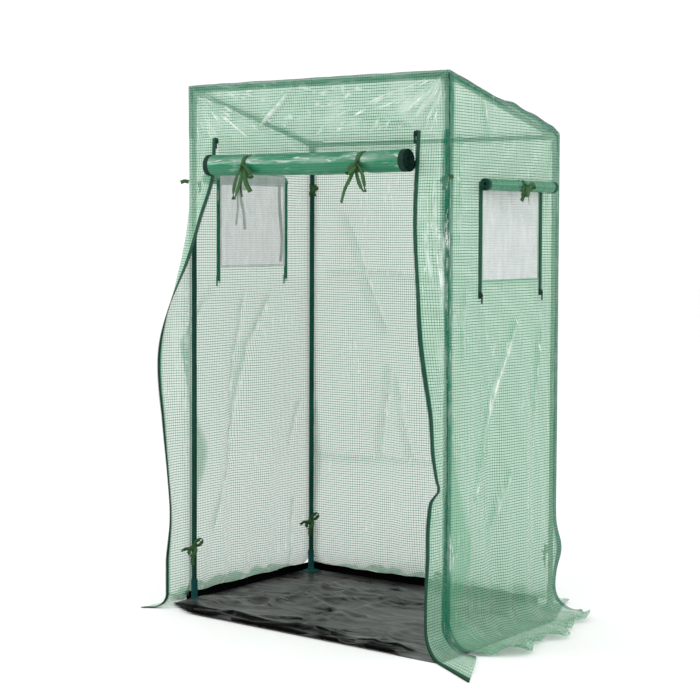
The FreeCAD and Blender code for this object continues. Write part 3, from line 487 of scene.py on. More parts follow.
def creased(a, b, creases):
    """Lift of straight creases over two coordinates of a panel, the line where a glint is painted on
    each, and the side beside it where shade is painted.
    """
    lift, line, side = 0 * a, 0 * a, 0 * a
    for a0, b0, a1, b1, height, half in creases:
        run, rise = a1 - a0, b1 - b0
        reach = math.hypot(run, rise)
        along = ((a - a0) * run + (b - b0) * rise) / reach ** 2
        t = unit(along)
        aside = ((a - a0) * rise - (b - b0) * run) / reach
        aside = aside + 0.06 * reach * t * (1 - t) * np.sin(5 * t + 9 * a0 + 5 * b1)
        off = np.hypot(aside, (along - t) * reach)
        lift = lift + height * near_edge(off, half)
        # Where a white glint is painted along each crease
        sharp = near_edge(off, CREASE_LINE) * (4 * t * (1 - t)) ** 0.7 * min(1, height / 0.008) ** 2
        line = np.maximum(line, sharp)
        # The side beside each crease where shade is painted
        side = np.maximum(side, near_edge(off, half * 1.4) * (aside > 0))
    return lift, line, side


def roof_z(y):
    return ROOF_FRONT_Z - (y + POST_Y) * ROOF_SLOPE


def loose_edge(y):
    """How far the cover stands up along the back half of its right edge."""
    rise = unit((y + 0.06) / 0.1) * unit((ROOF_Y - y) / 0.05)
    return 0.013 * rise * (0.85 + 0.15 * np.sin(y * 46))


cover_film = film_finish("cover_film")
x, y = sheet_grid((-ROOF_X, ROOF_X, 90), (-ROOF_Y, ROOF_Y, 64))
sag = unit(1 - (x / 0.47) ** 2) * unit(1 - (y / 0.295) ** 2)
bulge = np.exp(-((x - ROOF_X) / 0.05) ** 2) * loose_edge(y)
wrinkle, line, side = creased(x, y, ROOF_CREASES)
z = roof_z(y) - 0.014 * sag + 0.004 * rumple(x * 7, y * 7, 1) + bulge + wrinkle
edge = np.minimum(ROOF_X - abs(x), ROOF_Y - abs(y))
# Roof: painted shade over the rails and beside creases, painted glints along its edges and creases
roof = grid_piece("roof_film", joined(x, y, z), joined(x, y * math.hypot(1, ROOF_SLOPE)), cover_film,
                  (0, 0, 1), dense=0.3 * side, shade=over_tube(edge),
                  crinkle=0.5 * near_edge(edge, 0.06) + 1.5 * line)
sew_in(roof, "roof_panel")

top_z = roof_z(-ROOF_Y)
x, share = sheet_grid((-ROOF_X, ROOF_X, 170), (0, 1, 34))
z = HEADER_Z + (top_z - HEADER_Z) * share
wrinkle, line, side = creased(x, z, HEADER_CREASES)
y = -WALL_Y - (0.004 * rumple(x * 8, z * 8, 2) + wrinkle) * unit((z - HEADER_Z) / 0.03)
on_tube = over_tube(np.minimum(ROOF_X - abs(x), top_z - z))
corner_x, corner_z = 0.5 - np.abs(x), top_z - z
from_corner = np.hypot(corner_x, corner_z)
fan = joined(np.arctan2(corner_z, corner_x + 1e-6) * 0.25 + (x > 0), from_corner)
# Header: painted sheen all over, more to the left, painted glints fanning from the top corners and on
# creases
crinkle = 0.35 + 0.25 * unit(-x / 0.3)
crinkle = crinkle + np.where(x < 0, 0.2, 0.65) * near_edge(from_corner, 0.6) + 1.2 * line
header = grid_piece("header_film", joined(x, y, z), joined(x, z), cover_film, (0, -1, 0), crease=fan,
                    dense=0.3 * side, shade=0.7 * on_tube, crinkle=crinkle * (1 - 0.7 * on_tube))
sew_in(header, "front_header")


# Side walls and back: hung from the roof's edges, flat as far as the windows and then falling in
# folds to a skirt that lies out on the ground. Net windows are cut into the two sides.
GROUND_Z = 0.0018
FLAT_Z = 1.010
FLARE = 0.08
KNEE_Z = GROUND_Z + FLARE
FOLD, RIPPLE = 0.016, 0.007
SIDE_HALF = 0.327
WINDOW_Z = (1.082, 1.378)
WINDOW_HALF = 0.165
LEFT_RISE, RIGHT_SHIFT = 0.03, 0.028
CORNER_BILLOW = 0.014
# How far the skirts lie out at even steps along each wall, in millimetres
RIGHT_SKIRT = (45, 120, 150, 118, 100, 128, 132, 105, 88, 72, 90, 70, 20)
LEFT_SKIRT = (20, 40, 48, 36, 30, 48, 56, 46, 40, 50, 40, 28, 20)
BACK_SKIRT = (20, 44, 58, 46, 36, 46, 62, 52, 40, 54, 44, 30, 20)
# Corner seams stray from the posts near the ground: height, and how far along the wall
RIGHT_SEAM = ((0, 0.12), (0.117, 0.03), (0.228, 0.1), (0.497, 0.03), (0.7, 0.012), (1.7, 0.008))
LEFT_SEAM = ((0, 0.01), (0.15, 0.012), (0.32, 0.02), (0.513, 0.07), (0.62, 0.022), (0.9, 0.008),
             (1.7, 0.008))
BACK_SEAM = ((0, 0.02), (0.073, 0.024), (0.23, 0.016), (0.415, 0.028), (0.6, 0.012), (1.7, 0.008))
LEFT_CREASES = ((-0.015, 1.09, -0.081, 0.796, 0.008, 0.03), (-0.081, 0.796, -0.092, 0.612, 0.008, 0.03),
                (0.156, 1.085, -0.015, 0.83, 0.009, 0.034), (-0.015, 0.83, -0.087, 0.538, 0.01, 0.034),
                (-0.087, 0.538, -0.092, 0.465, 0.01, 0.034), (-0.092, 0.465, -0.181, 0.239, 0.007, 0.03),
                (-0.186, 1.045, -0.313, 0.905, 0.007, 0.026), (0.27, 0.6, 0.227, 0.489, 0.008, 0.024),
                (0.244, 0.26, 0.227, 0.06, 0.006, 0.022))
RIGHT_CREASES = ((0.076, 1.003, -0.15, 0.527, 0.008, 0.026), (-0.165, 0.47, -0.18, 0.43, 0.008, 0.02),
                 (-0.244, 1.058, -0.256, 0.858, 0.006, 0.02), (-0.161, 1.64, -0.107, 1.506, 0.005, 0.02),
                 (0.26, 1.5, 0.25, 1.2, 0.004, 0.016), (0.22, 1.05, 0.179, 0.673, 0.006, 0.022),
                 (0.018, 0.478, -0.095, 0.28, 0.006, 0.024), (-0.27, 1.5, -0.28, 1.2, 0.005, 0.018))
BACK_CREASES = ((-0.165, 0.738, -0.202, 0.437, 0.009, 0.03), (-0.347, 1.272, -0.181, 0.891, 0.008, 0.034),
                (-0.48, 0.43, 0.12, 0.44, 0.005, 0.024), (-0.42, 1.09, 0.4, 1.08, 0.005, 0.024),
                (-0.12, 0.7, -0.06, 0.46, 0.007, 0.03), (0.2, 1.3, 0.24, 0.5, 0.007, 0.03))


def smooth_line(stops, values, at):
    """Smooth curve through values at their stops."""
    stops, values, at = (np.asarray(given, float) for given in (stops, values, at))
    slopes = np.gradient(values, stops, axis=0)
    i = np.clip(np.searchsorted(stops, at, side="right") - 1, 0, len(stops) - 2)
    gap = stops[i + 1] - stops[i]
    t = (at - stops[i]) / gap
    if values.ndim > 1:
        t, gap = t[:, None], gap[:, None]
    return ((2 * t ** 3 - 3 * t ** 2 + 1) * values[i] + (t ** 3 - 2 * t ** 2 + t) * gap * slopes[i]
            + (3 * t ** 2 - 2 * t ** 3) * values[i + 1] + (t ** 3 - t ** 2) * gap * slopes[i + 1])


def eased(share):
    """Share of the way that starts and ends softly."""
    return share ** 2 * (3 - 2 * share)


def ragged(along, seed):
    """Uneven cut edge, in steps of one thread."""
    return np.array([noise.noise((round(at / THREAD_PITCH) * 0.61, seed, 4)) for at in along])


def glint_clusters(up, seed, layer, least):
    """Where up an edge the glints gather."""
    return np.clip(2.2 * rumple(0 * up + seed, up * 6, layer) - 0.6, least, 1)


def wall_fall(along, tops, sill, lintel, runs, waves, seed):
    """How far out and how high the film is, in rows from its top to the skirt's edge, and its foot."""
    flat = 0 * along
    ease = np.sin(np.pi * along)
    fold = FOLD * ease * np.sin(math.tau * waves * along)
    drift = FOLD * ease
    ripple = RIPPLE * (np.sin(math.tau * (2.7 * waves) * along + seed) * ease)
    foot = drift + ripple
    # Rows above the window, beside it and below it, then the folds, the flare and the skirt
    rows = [(flat, lintel + part * (tops - lintel)) for part in np.linspace(1, 0, 22)[:-1]]
    rows += [(flat, height + flat) for height in np.linspace(lintel, sill, 20)[:-1]]
    rows += [(flat, height + flat) for height in np.linspace(sill, FLAT_Z, 7)[:-1]]
    for part in np.linspace(0, 1, 90)[:-1]:
        belly = fold * 4 * part * (1 - part) + drift * part * (2 * part - 1)
        out = belly * eased(min(1, part / 0.3)) + ripple * part ** 1.5
        rows.append((out, FLAT_Z + (KNEE_Z - FLAT_Z) * part + flat))
    rows += [(foot + FLARE * (1 - math.cos(angle)), KNEE_Z - FLARE * math.sin(angle) + flat)
             for angle in np.linspace(0, math.pi / 2, 14)[:-1]]
    rows += [(foot + FLARE + runs * part, GROUND_Z + flat) for part in np.linspace(0, 1, 20)]
    out, height = np.array(rows).transpose(1, 0, 2)
    return out, height, foot


def hung_wall(name, reach, half, top_at, skirt, waves, seam, creases, turn, seed,
              window=None, rise=0, lean=0, billow=0):
    """Film wall drawn as if it faced +X, then turned onto its own side. The seam strays at its
    first end, or at its last where the wall was turned. window is the middle of its opening, rise
    lifts that, lean slants the skirt, and billow is how far the back right corner stands out."""
    right = turn == 0
    sign = 1 if right else -1
    sill, lintel = WINDOW_Z[0] + rise, WINDOW_Z[1] + rise
    stations = np.linspace(-half, half, 133)
    if window is not None:
        stations = np.unique(np.concatenate([stations, (window - WINDOW_HALF, window + WINDOW_HALF)]))
    along = (stations + half) / (2 * half)
    runs = smooth_line(np.linspace(0, 1, len(skirt)), np.array(skirt) / 1000, along)
    runs += 0.007 * ragged(stations, seed) * np.sin(np.pi * along)
    tops = top_at(stations)
    across, height, foot = wall_fall(along, tops, sill, lintel, runs, waves, seed)
    station = stations + lean * np.clip(1 - 4 * along, 0, None) * across
    gaps = np.hypot(np.diff(across, axis=0), np.diff(height, axis=0))
    length = np.vstack([0 * along, np.cumsum(gaps, axis=0)])
    down = tops - length

    crumple = rumple(station * 9, height * 4 + across * 9, seed)
    fine = rumple(station * 30, height * 16 + across * 30, seed + 3)
    calm = np.ones_like(height)
    if window is not None:
        beside = unit((np.abs(station - window) - 0.20) / 0.06)
        beyond = unit(np.maximum(height - lintel - 0.03, sill - 0.08 - height) / 0.05)
        calm = np.maximum(beside, beyond)
    from_end = half - np.abs(stations)
    puff = (0.006 * crumple + 0.002 * fine) * calm * unit((tops - height) / 0.05)
    puff = puff * np.clip(from_end / 0.05, 0.2, 1)
    standing = unit((height - GROUND_Z) / FLARE)
    wrinkle, line, side = creased(sign * stations + 0 * height, down, creases)
    swing = billow * np.exp(-((height - 0.2) / 0.06) ** 2) * np.exp(-(half - sign * stations) / 0.045)
    wide = reach + across + (puff + wrinkle * calm) * standing + swing
    to_edge = unit((across - foot - FLARE) / np.maximum(runs, 0.01))
    ruffle = 0.5 + 0.5 * np.sin(stations * 62 + seed + 2.2 * fine)
    tall = height + (1 - standing) * unit(across / 0.1) * (0.014 * crumple ** 2 + 0.004 * fine)
    tall = tall + 0.024 * to_edge ** 1.5 * ruffle * unit(runs / 0.08)
    spin = Matrix.Rotation(math.radians(turn), 3, "Z")
    places = joined(wide, station + sign * swing, tall) @ np.array(spin).T

    # Painted shade where the film lies over the posts and rail, fainter on the walls seen from inside
    shade = over_tube(np.minimum(from_end + 0 * height, length)) * (1 if right else 0.3)
    stray = smooth_line(*zip(*seam), height.ravel()).reshape(height.shape)
    from_corner = half + stations * sign
    strip = unit(1.8 * near_edge(np.abs(from_corner - stray), 0.022))
    doubled = (0.5 if right else 0.65) * (from_corner < stray)
    # Doubled film at the straying seams, painted shade beside creases, and darker green along the bottom 10
    # cm
    dense = np.maximum.reduce([(0.3 if window is None else 0.45) * side * calm, strip * (0.25 + 0.4 * fine),
                               doubled, 0.2 * near_edge(height, 0.1)])
    # Painted glints in clusters along the corners, fewer near the ground, a painted glint patch low by the
    # front right post, painted glints on creases and painted sheen near the ground
    crinkle = 0.8 * near_edge(from_corner, 0.06) + 0.5 * near_edge(2 * half - from_corner, 0.05)
    crinkle = crinkle * glint_clusters(height, seed, 14, 0.1) * np.clip((height - 0.4) / 0.3, 0.15, 1)
    if right:
        crinkle += np.exp(-((height - 0.27) / 0.05) ** 2) * near_edge(from_corner, 0.1)
    crinkle = np.maximum(crinkle + (2 if right else 1.4) * line * calm, 0.25 * near_edge(height, 0.16))
    gone = None
    if window is not None:
        frame_y = np.abs(station - window) - WINDOW_HALF
        frame_z = np.maximum(height - lintel, sill - height)
        # Doubled film round the window frame, and the jamb tape seen through the film painted as shade
        dense = np.maximum(dense, 0.4 * near_edge(np.maximum(frame_y, frame_z), 0.02))
        on_tape = (np.abs(frame_y - 0.0155) < 0.01) & (height < lintel) & (height > sill - 0.054)
        shade = np.maximum(shade, on_tape)
        middle = (stations[1:] + stations[:-1]) / 2
        level = (height[1:, 0] + height[:-1, 0]) / 2
        in_height = (level > sill) & (level < lintel) & (across[1:, 0] < 0.001)
        gone = in_height[:, None] & (np.abs(middle - window) < WINDOW_HALF)
    return grid_piece(name, places, joined(stations + 0 * height, down), cover_film,
                      spin @ Vector((1, 0, 0.2)), gone, dense=dense, shade=shade, crinkle=crinkle)


def front_to_back(y):
    return roof_z(y) + loose_edge(y)


def back_to_front(y):
    return roof_z(-y)


def level_top(y):
    return roof_z(ROOF_Y) + 0 * y


right_wall = hung_wall("right_wall_film", WALL_X, SIDE_HALF, front_to_back, RIGHT_SKIRT, waves=2,
                       seam=RIGHT_SEAM, creases=RIGHT_CREASES, turn=0, seed=4, window=RIGHT_SHIFT,
                       lean=-0.2, billow=CORNER_BILLOW)
left_wall = hung_wall("left_wall_film", WALL_X, SIDE_HALF, back_to_front, LEFT_SKIRT, waves=2,
                      seam=LEFT_SEAM, creases=LEFT_CREASES, turn=180, seed=5, window=0, rise=LEFT_RISE)
back_wall = hung_wall("back_film", WALL_Y, ROOF_X, level_top, BACK_SKIRT, waves=3, seam=BACK_SEAM,
                      creases=BACK_CREASES, turn=90, seed=6, billow=CORNER_BILLOW)
sew_in(right_wall, "right_wall_panel")
sew_in(left_wall, "left_wall_panel")
sew_in(back_wall, "back_panel")


# Door flaps: the film beside the door hangs from the header's ends, swings outward as it falls and
# spreads on the ground. A woven zip tape with moulded teeth is sewn along each free edge.
FLAP_REACH = 0.1125
TAPE_SHARE = 1 - 0.0115 / FLAP_REACH
FLAP_KNEE = 0.16
HEM_SHARE = 0.925
TAPE_THICK = 0.0012
# Pitch of a row, and each block's length, width and height
FLAP_TEETH = (0.0034, (0.0018, 0.005, 0.0028))
FLAP_STITCHES = (0.0055, (0.0036, 0.0006, 0.0005))
FLAP_CREASES = ((0.03, 1.42, 0.044, 1.12, 0.008, 0.02), (0.068, 1.38, 0.056, 1.02, 0.008, 0.02),
                (0.014, 1.24, 0.028, 0.98, 0.008, 0.02), (0.05, 0.94, 0.04, 0.72, 0.007, 0.02),
                (0.024, 0.62, 0.016, 0.48, 0.007, 0.02))
# Stations of the fall: share of the height, swing in degrees, belly in millimetres, share of the width
LEFT_FALL = ((0, 0, 0, 1), (0.09, 4, 6, 1), (0.18, 26, 16, 1), (0.29, 50, 24, 1), (0.4, 84, 20, 1),
             (0.52, 112, 12, 1), (0.67, 99, 10, 1), (0.8, 87, 12, 1), (0.9, 82, 8, 1), (1, 90, 0, 1))
RIGHT_FALL = ((0, 0, 0, 1), (0.1, 5, 5, 1), (0.2, 18, 14, 0.94), (0.37, 44, 24, 0.82), (0.5, 74, 20, 0.9),
              (0.6, 93, 16, 0.96), (0.7, 101, 12, 1), (0.745, 107, 10, 1), (0.765, 110, 9, 1),
              (0.785, 99, 10, 1), (0.82, 94, 12, 1), (0.92, 92, 8, 1), (1, 90, 0, 1))


def woven_finish(name, dark, light, rib):
    """Woven tape or ribbon: ribs across it, a fuzzy dull surface and a slight change of tone."""
    make = Finish(name)
    axes = make.add("SeparateXYZ", {"Vector": make.on_cut()}).outputs
    ribs, warp = (make.work("SINE", make.work("MULTIPLY", axes[axis], math.tau / pitch))
                  for axis, pitch in (("Y", rib), ("X", rib * 0.8)))
    weave = make.work("MULTIPLY", ribs, warp)
    cloud = make.cloud(make.place(), 35, 5)
    tone = make.tones(cloud, (0.3, *dark), (0.7, *light))
    return make.done({"Base Color": make.mix(make.spread(weave, -1, 1, 0, 0.5), tone, (*light, 1)),
                      "Roughness": make.spread(cloud, 0.3, 0.7, 0.6, 0.78),
                      "Normal": make.bump(weave, 0.5, 0.0004), "Specular IOR Level": 0.2})


def flap_grid(side, fall, flare, runs, leans, near, far, count):
    """Places of a flap between two shares of its width, and the same points on the flat film."""
    shares = np.linspace(near, far, count)
    pivot = np.array([side * WALL_X, -WALL_Y])
    drops = np.linspace(0, 1, 100)
    stops, swings, bellies, widths = np.array(fall, float).T
    swings = np.radians(smooth_line(stops, swings, drops))
    bellies = np.abs(smooth_line(stops, bellies / 1000, drops)) + 1e-5
    widths = FLAP_REACH * smooth_line(stops, widths, drops)
    rows = []
    for drop, swing, belly, width in zip(drops, swings, bellies, widths):
        ahead = np.array([-side * math.cos(swing), -math.sin(swing)])
        aside = -side * np.array([ahead[1], -ahead[0]])
        radius = (width ** 2 / 4 + belly ** 2) / (2 * belly)
        centre = pivot + ahead * width / 2 + aside * (belly - radius)
        angle = math.asin(width / 2 / radius) * (2 * shares - 1)
        flat = centre + (np.outer(np.sin(angle), ahead) + np.outer(np.cos(angle), aside)) * radius
        rows.append(np.column_stack([flat, 0 * shares + HEADER_Z + (FLAP_KNEE - HEADER_Z) * drop]))
    run = runs[0] + (runs[1] - runs[0]) * shares
    lean = leans[0] + (leans[1] - leans[0]) * shares
    knee = GROUND_Z + flare
    fall_in = [(0 * shares, height) for height in np.linspace(FLAP_KNEE, knee, 8)[1:-1]]
    arc = [(flare * (1 - math.cos(angle)) + 0 * shares, knee - flare * math.sin(angle))
           for angle in np.linspace(0, math.pi / 2, 14)]
    lie = [(flare + run * part, GROUND_Z) for part in np.linspace(0, 1, 14)[1:]]
    for across, height in fall_in + arc + lie:
        rows.append(joined(side * (WALL_X + across), -WALL_Y - FLAP_REACH * shares - lean * across, height))
    places = np.array(rows)
    gaps = np.linalg.norm(np.diff(places, axis=0), axis=2).mean(axis=1)
    down = HEADER_Z - np.concatenate([[0], np.cumsum(gaps)])
    return places, joined(shares * FLAP_REACH, down[:, None])


def row_tree():
    """Nodes that set a row of small blocks along a path, each lying along it and facing out."""
    tree = bpy.data.node_groups.new("row_along_path", "GeometryNodeTree")
    sockets = (("Path", "Geometry"), ("Pitch", "Float"), ("Length", "Float"), ("Width", "Float"),
               ("Height", "Float"), ("Finish", "Material"))
    for name, kind in sockets:
        tree.interface.new_socket(name, in_out="INPUT", socket_type="NodeSocket" + kind)
    tree.interface.new_socket("Row", in_out="OUTPUT", socket_type="NodeSocketGeometry")

    def add(kind, inputs, **settings):
        node = tree.nodes.new(kind)
        for key, value in settings.items():
            setattr(node, key, value)
        for key, value in inputs.items():
            tree.links.new(value, node.inputs[key])
        return node

    given = add("NodeGroupInput", {}).outputs
    curve = add("GeometryNodeMeshToCurve", {"Mesh": given["Path"]})
    spaced = add("GeometryNodeResampleCurve", {"Curve": curve.outputs[0], "Length": given["Pitch"]},
                 mode="LENGTH")
    size = add("ShaderNodeCombineXYZ", {"X": given["Length"], "Y": given["Width"], "Z": given["Height"]})
    block = add("GeometryNodeMeshCube", {"Size": size.outputs[0]})
    ahead = add("GeometryNodeInputTangent", {})
    outward = add("GeometryNodeInputNamedAttribute", {}, data_type="FLOAT_VECTOR")
    outward.inputs["Name"].default_value = "Out"
    turn = add("FunctionNodeAlignRotationToVector", {"Vector": ahead.outputs[0]}, axis="X")
    facing = {"Rotation": turn.outputs[0], "Vector": outward.outputs["Attribute"]}
    turn = add("FunctionNodeAlignRotationToVector", facing, axis="Z", pivot_axis="X")
    row = add("GeometryNodeInstanceOnPoints", {"Points": spaced.outputs[0], "Rotation": turn.outputs[0],
                                               "Instance": block.outputs["Mesh"]})
    solid = add("GeometryNodeRealizeInstances", {"Geometry": row.outputs[0]})
    done = add("GeometryNodeSetMaterial", {"Geometry": solid.outputs[0], "Material": given["Finish"]})
    add("NodeGroupOutput", {"Row": done.outputs[0]})
    return tree


path_row = row_tree()


def set_row(name, paths, pitch, block, material):
    """Row of blocks along paths of places and their outward ways, as one plain mesh."""
    places, outs, edges = [], [], []
    for path, outward in paths:
        first = len(places)
        places += [tuple(place) for place in path]
        outs += [tuple(out) for out in outward]
        edges += [(first + i, first + i + 1) for i in range(len(path) - 1)]
    mesh = bpy.data.meshes.new(name + "_path")
    mesh.from_pydata(places, edges, [])
    mesh.attributes.new("Out", "FLOAT_VECTOR", "POINT").data.foreach_set("vector", np.array(outs).ravel())
    carrier = bpy.data.objects.new(name + "_path", mesh)
    bpy.context.scene.collection.objects.link(carrier)
    modifier = carrier.modifiers.new("Row", "NODES")
    modifier.node_group = path_row
    sizes = {"Pitch": pitch, "Length": block[0], "Width": block[1], "Height": block[2], "Finish": material}
    for socket in path_row.interface.items_tree:
        if socket.in_out == "INPUT" and socket.name in sizes:
            modifier[socket.identifier] = sizes[socket.name]
    graph = bpy.context.evaluated_depsgraph_get()
    row = bpy.data.meshes.new_from_object(carrier.evaluated_get(graph))
    bpy.data.objects.remove(carrier)
    piece = bpy.data.objects.new(name, row)
    bpy.context.scene.collection.objects.link(piece)
    return piece


def thicken(piece, thickness):
    """Give a strip its thickness, about its middle."""
    wall = piece.modifiers.new("Thickness", "SOLIDIFY")
    wall.thickness = thickness
    wall.offset = 0


zip_tape = woven_finish("zip_tape", dark=(0.006, 0.05, 0.03), light=(0.013, 0.085, 0.052), rib=0.0014)
zip_teeth = hard_finish("zip_teeth", dark=(0.006, 0.03, 0.02), light=(0.012, 0.05, 0.034),
                        wear_and_highlight=(0.06, 0.12, 0.09), grain=900, gloss=0.35)
seam_thread = woven_finish("seam_thread", dark=(0.02, 0.11, 0.06), light=(0.04, 0.17, 0.1), rib=0.001)
# The left flap gets fewer painted glints and less painted shade over its post than the right one
for side, name, fall, flare, runs, leans, glinting, glaring, creasing, shading in (
        (-1, "left", LEFT_FALL, 0.045, (0.005, 0.025), (0.1, 0.6), 0.6, 0.3, 0.4, 0.15),
        (1, "right", RIGHT_FALL, 0.08, (0.045, 0.175), (0.25, 0.65), 1, 1, 1.1, 1)):
    outward = (side, -1, 0.3)
    places, cut = flap_grid(side, fall, flare, runs, leans, 0, HEM_SHARE, 38)
    across, down, up = cut[..., 0], cut[..., 1], places[..., 2]
    hem = HEM_SHARE * FLAP_REACH - across
    ripple = rumple(across * 20 + side, down * 7, 11)
    ends = unit(across / 0.02) * unit((hem - 0.012) / 0.02)
    lying = unit(1 - (up - GROUND_Z) / 0.05)
    up += 0.008 * ripple * ends * lying
    places[..., 1] -= 0.004 * ripple * ends * (1 - lying) * unit((HEADER_Z - up) / 0.1)
    outs = np.cross(np.gradient(places, axis=0), np.gradient(places, axis=1)) * side
    outs /= np.linalg.norm(outs, axis=2)[..., None]
    places += outs * 0.0013 * unit(1 - (hem - 0.004) / 0.006)[..., None]
    seam = 0.9 * near_edge(hem, 0.012)
    # Painted glints by the post, near the ground, on creases, and painted glare across the upper flap
    clusters = glint_clusters(down, side, 15, 0.15) * np.clip((up - 0.4) / 0.3, 0.15, 1)
    glare = unit((up - 0.75) / 0.3) * rumple(across * 12, down * 4, 16)
    crinkle = np.maximum.reduce([near_edge(across, 0.09) * clusters * glinting, 0.35 * near_edge(up, 0.2),
                                 glare * glaring])
    crinkle += creasing * creased(across, down, FLAP_CREASES)[1]
    if side < 0:
        stray = 0.028 * np.interp(up, (0.66, 0.86, 0.92), (0, 1, 0))
        seam = np.maximum(seam, 0.6 * (across < stray))
    flap = grid_piece(name + "_flap_film", places, cut, cover_film, outward, dense=seam,
                      shade=over_tube(across) * shading, crinkle=crinkle)
    stitch_paths = [(places[:, column] + outs[:, column] * 0.0006, outs[:, 1]) for column in (1, -3)]
    places, cut = flap_grid(side, fall, flare, runs, leans, TAPE_SHARE, 1, 5)
    tape = grid_piece(name + "_flap_tape", places, cut, zip_tape, outward)[0]
    thicken(tape, TAPE_THICK)
    teeth = set_row(name + "_flap_teeth", [(places[:, -1], outs[:, -1])], *FLAP_TEETH, zip_teeth)
    seams = set_row(name + "_flap_stitches", stitch_paths, *FLAP_STITCHES, seam_thread)
    carry(tape, "house", name + "_door_zip_tape")
    carry(teeth, "house")
    carry(seams, "house")
    sew_in(flap, name + "_door_flap")


# Door: a film curtain that comes down behind the header and winds onto a roll of ten turns. Zip
# tape is sewn along both its edges, so the roll's ends show rings of tape, painted darker as the
# shade between the windings.
ROLL_Y, ROLL_Z = -0.362, 1.437
ROLL_OUT, ROLL_CORE, DOOR_LENGTH = 0.0345, 0.009, 1.44
ROLL_HALF, ROLL_FILM = 0.388, 0.368
ROLL_TAPE_THICK, ROLL_RECESS = 0.0013, 0.008
ROLL_TEETH = (0.0034, (0.0018, 0.003, 0.0016))
ROLL_OUTWARD = (0, 0, 0.001)
DOOR_HALF, DOOR_TUCK = 0.3794, 0.004
TIE_X, TIE_PINCH = 0.2215, 0.13


def pinch(x):
    """How much the ties draw the roll in, as a share of its radius."""
    return TIE_PINCH * np.exp(-((np.abs(x) - TIE_X) / 0.02) ** 2)


def roll_sag(x):
    return -0.004 * (1 - (x / ROLL_HALF) ** 2)


def wound_grid(spans, outer, core, length, shrink, sag, seed):
    """Spiral of film along spans, as (along, out, up) about the roll's axis and its flat cut."""
    pitch = math.pi * (outer ** 2 - core ** 2) / length
    turns = (outer - core) / pitch
    angle = np.linspace(0, math.tau * turns, int(26 * turns))
    radius = outer - pitch * angle / math.tau
    along, angles = np.meshgrid(spans, angle)
    radii = radius[:, None] * (1 - shrink(along))
    dent = rumple(along * 14, np.cos(angles) * 1.1 + angles * 0.02, seed) - 0.5
    radii = radii + pitch * 0.35 * dent * unit(angles / 1.5)
    stretch = np.concatenate([[0], np.cumsum(radius[:-1] * np.diff(angle))])
    spiral = joined(along, radii * np.cos(angles), -radii * np.sin(angles) + sag(along))
    return spiral, joined(along, -stretch[:, None])


def door_spiral(begin, end, count):
    return wound_grid(np.linspace(begin, end, count), ROLL_OUT, ROLL_CORE, DOOR_LENGTH, pinch, roll_sag, 21)


roll_film = film_finish("roll_film", clear=False)
at_roll = np.array([0, ROLL_Y, ROLL_Z])
spiral, cut = door_spiral(-ROLL_FILM, ROLL_FILM, 121)
x = spiral[..., 0]
facing = np.arctan2(spiral[..., 2] - roll_sag(x), -spiral[..., 1])
outermost = cut[..., 1] > -math.tau * ROLL_OUT
# A painted highlight band where the roll faces the left soft box, and painted glints by the ties
shine = np.exp(-((facing - 0.42) / 0.24) ** 2) * (0.35 + 0.65 * rumple(x * 5, facing, 3))
crinkle = outermost * (1.9 * shine + 0.8 * near_edge(np.abs(np.abs(x) - TIE_X), 0.07))
door_roll = grid_piece("door_roll_film", spiral + at_roll, cut, roll_film, ROLL_OUTWARD,
                       crease=cut[..., ::-1], crinkle=crinkle)
# The same zip tape, painted darker as the shade between the tight windings at the roll's ends
shaded_wound_tape = woven_finish("shaded_wound_tape", dark=(0.001, 0.014, 0.01), light=(0.004, 0.034, 0.024), rib=0.0014)
roll_tapes = []
for name, begin, end, rim in (("left", -ROLL_HALF, -ROLL_FILM, 0), ("right", ROLL_FILM, ROLL_HALF, -1)):
    spiral, cut = door_spiral(begin, end, 5)
    recess = ROLL_RECESS * np.sin(np.linspace(0, 4 * math.pi, len(spiral))) ** 2
    outer_share = (np.abs(spiral[..., 0]) - ROLL_FILM) / (ROLL_HALF - ROLL_FILM)
    spiral[..., 0] -= np.sign(end) * recess[:, None] * outer_share
    tape = grid_piece(f"door_roll_{name}_tape_film", spiral + at_roll, cut, shaded_wound_tape, ROLL_OUTWARD)[0]
    thicken(tape, ROLL_TAPE_THICK)
    path = (spiral + at_roll)[:, rim]
    away = path - at_roll - np.array([path[0, 0], 0, 0])
    teeth = set_row(f"door_roll_{name}_teeth", [(path, away)], *ROLL_TEETH, zip_teeth)
    carry(tape, "door", f"door_roll_{name}_tape")
    carry(teeth, "door")
    roll_tapes += [tape, teeth]
sew_in(door_roll, "door_roll", body="door")

curtain_film = film_finish("door_curtain_film_finish", "X")
x, share = sheet_grid((-DOOR_HALF, DOOR_HALF, 90), (0, 1, 46))
drawn = eased(share)
y = -WALL_Y - pinch(x) * ROLL_OUT * drawn
z = HEADER_Z + DOOR_TUCK - (HEADER_Z + DOOR_TUCK - ROLL_Z) * share + roll_sag(x) * drawn
curtain = grid_piece("door_curtain_film", joined(x, y, z), joined(x, z), curtain_film, (0, -1, 0))
sew_in(curtain, "door_curtain", body=None)
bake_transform(curtain[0])


# Door ties: two olive ribbons round the roll, each tied in front in a loose bow with long tails.
# They are folded flat webbing, narrow and dull, and draw the roll in where they are knotted.
RIBBON_WIDTH = 0.015
RIBBON_THICK = 0.0008
RIBBON_ROOM = 0.0014
UP = np.array([0, 0, 1.0])


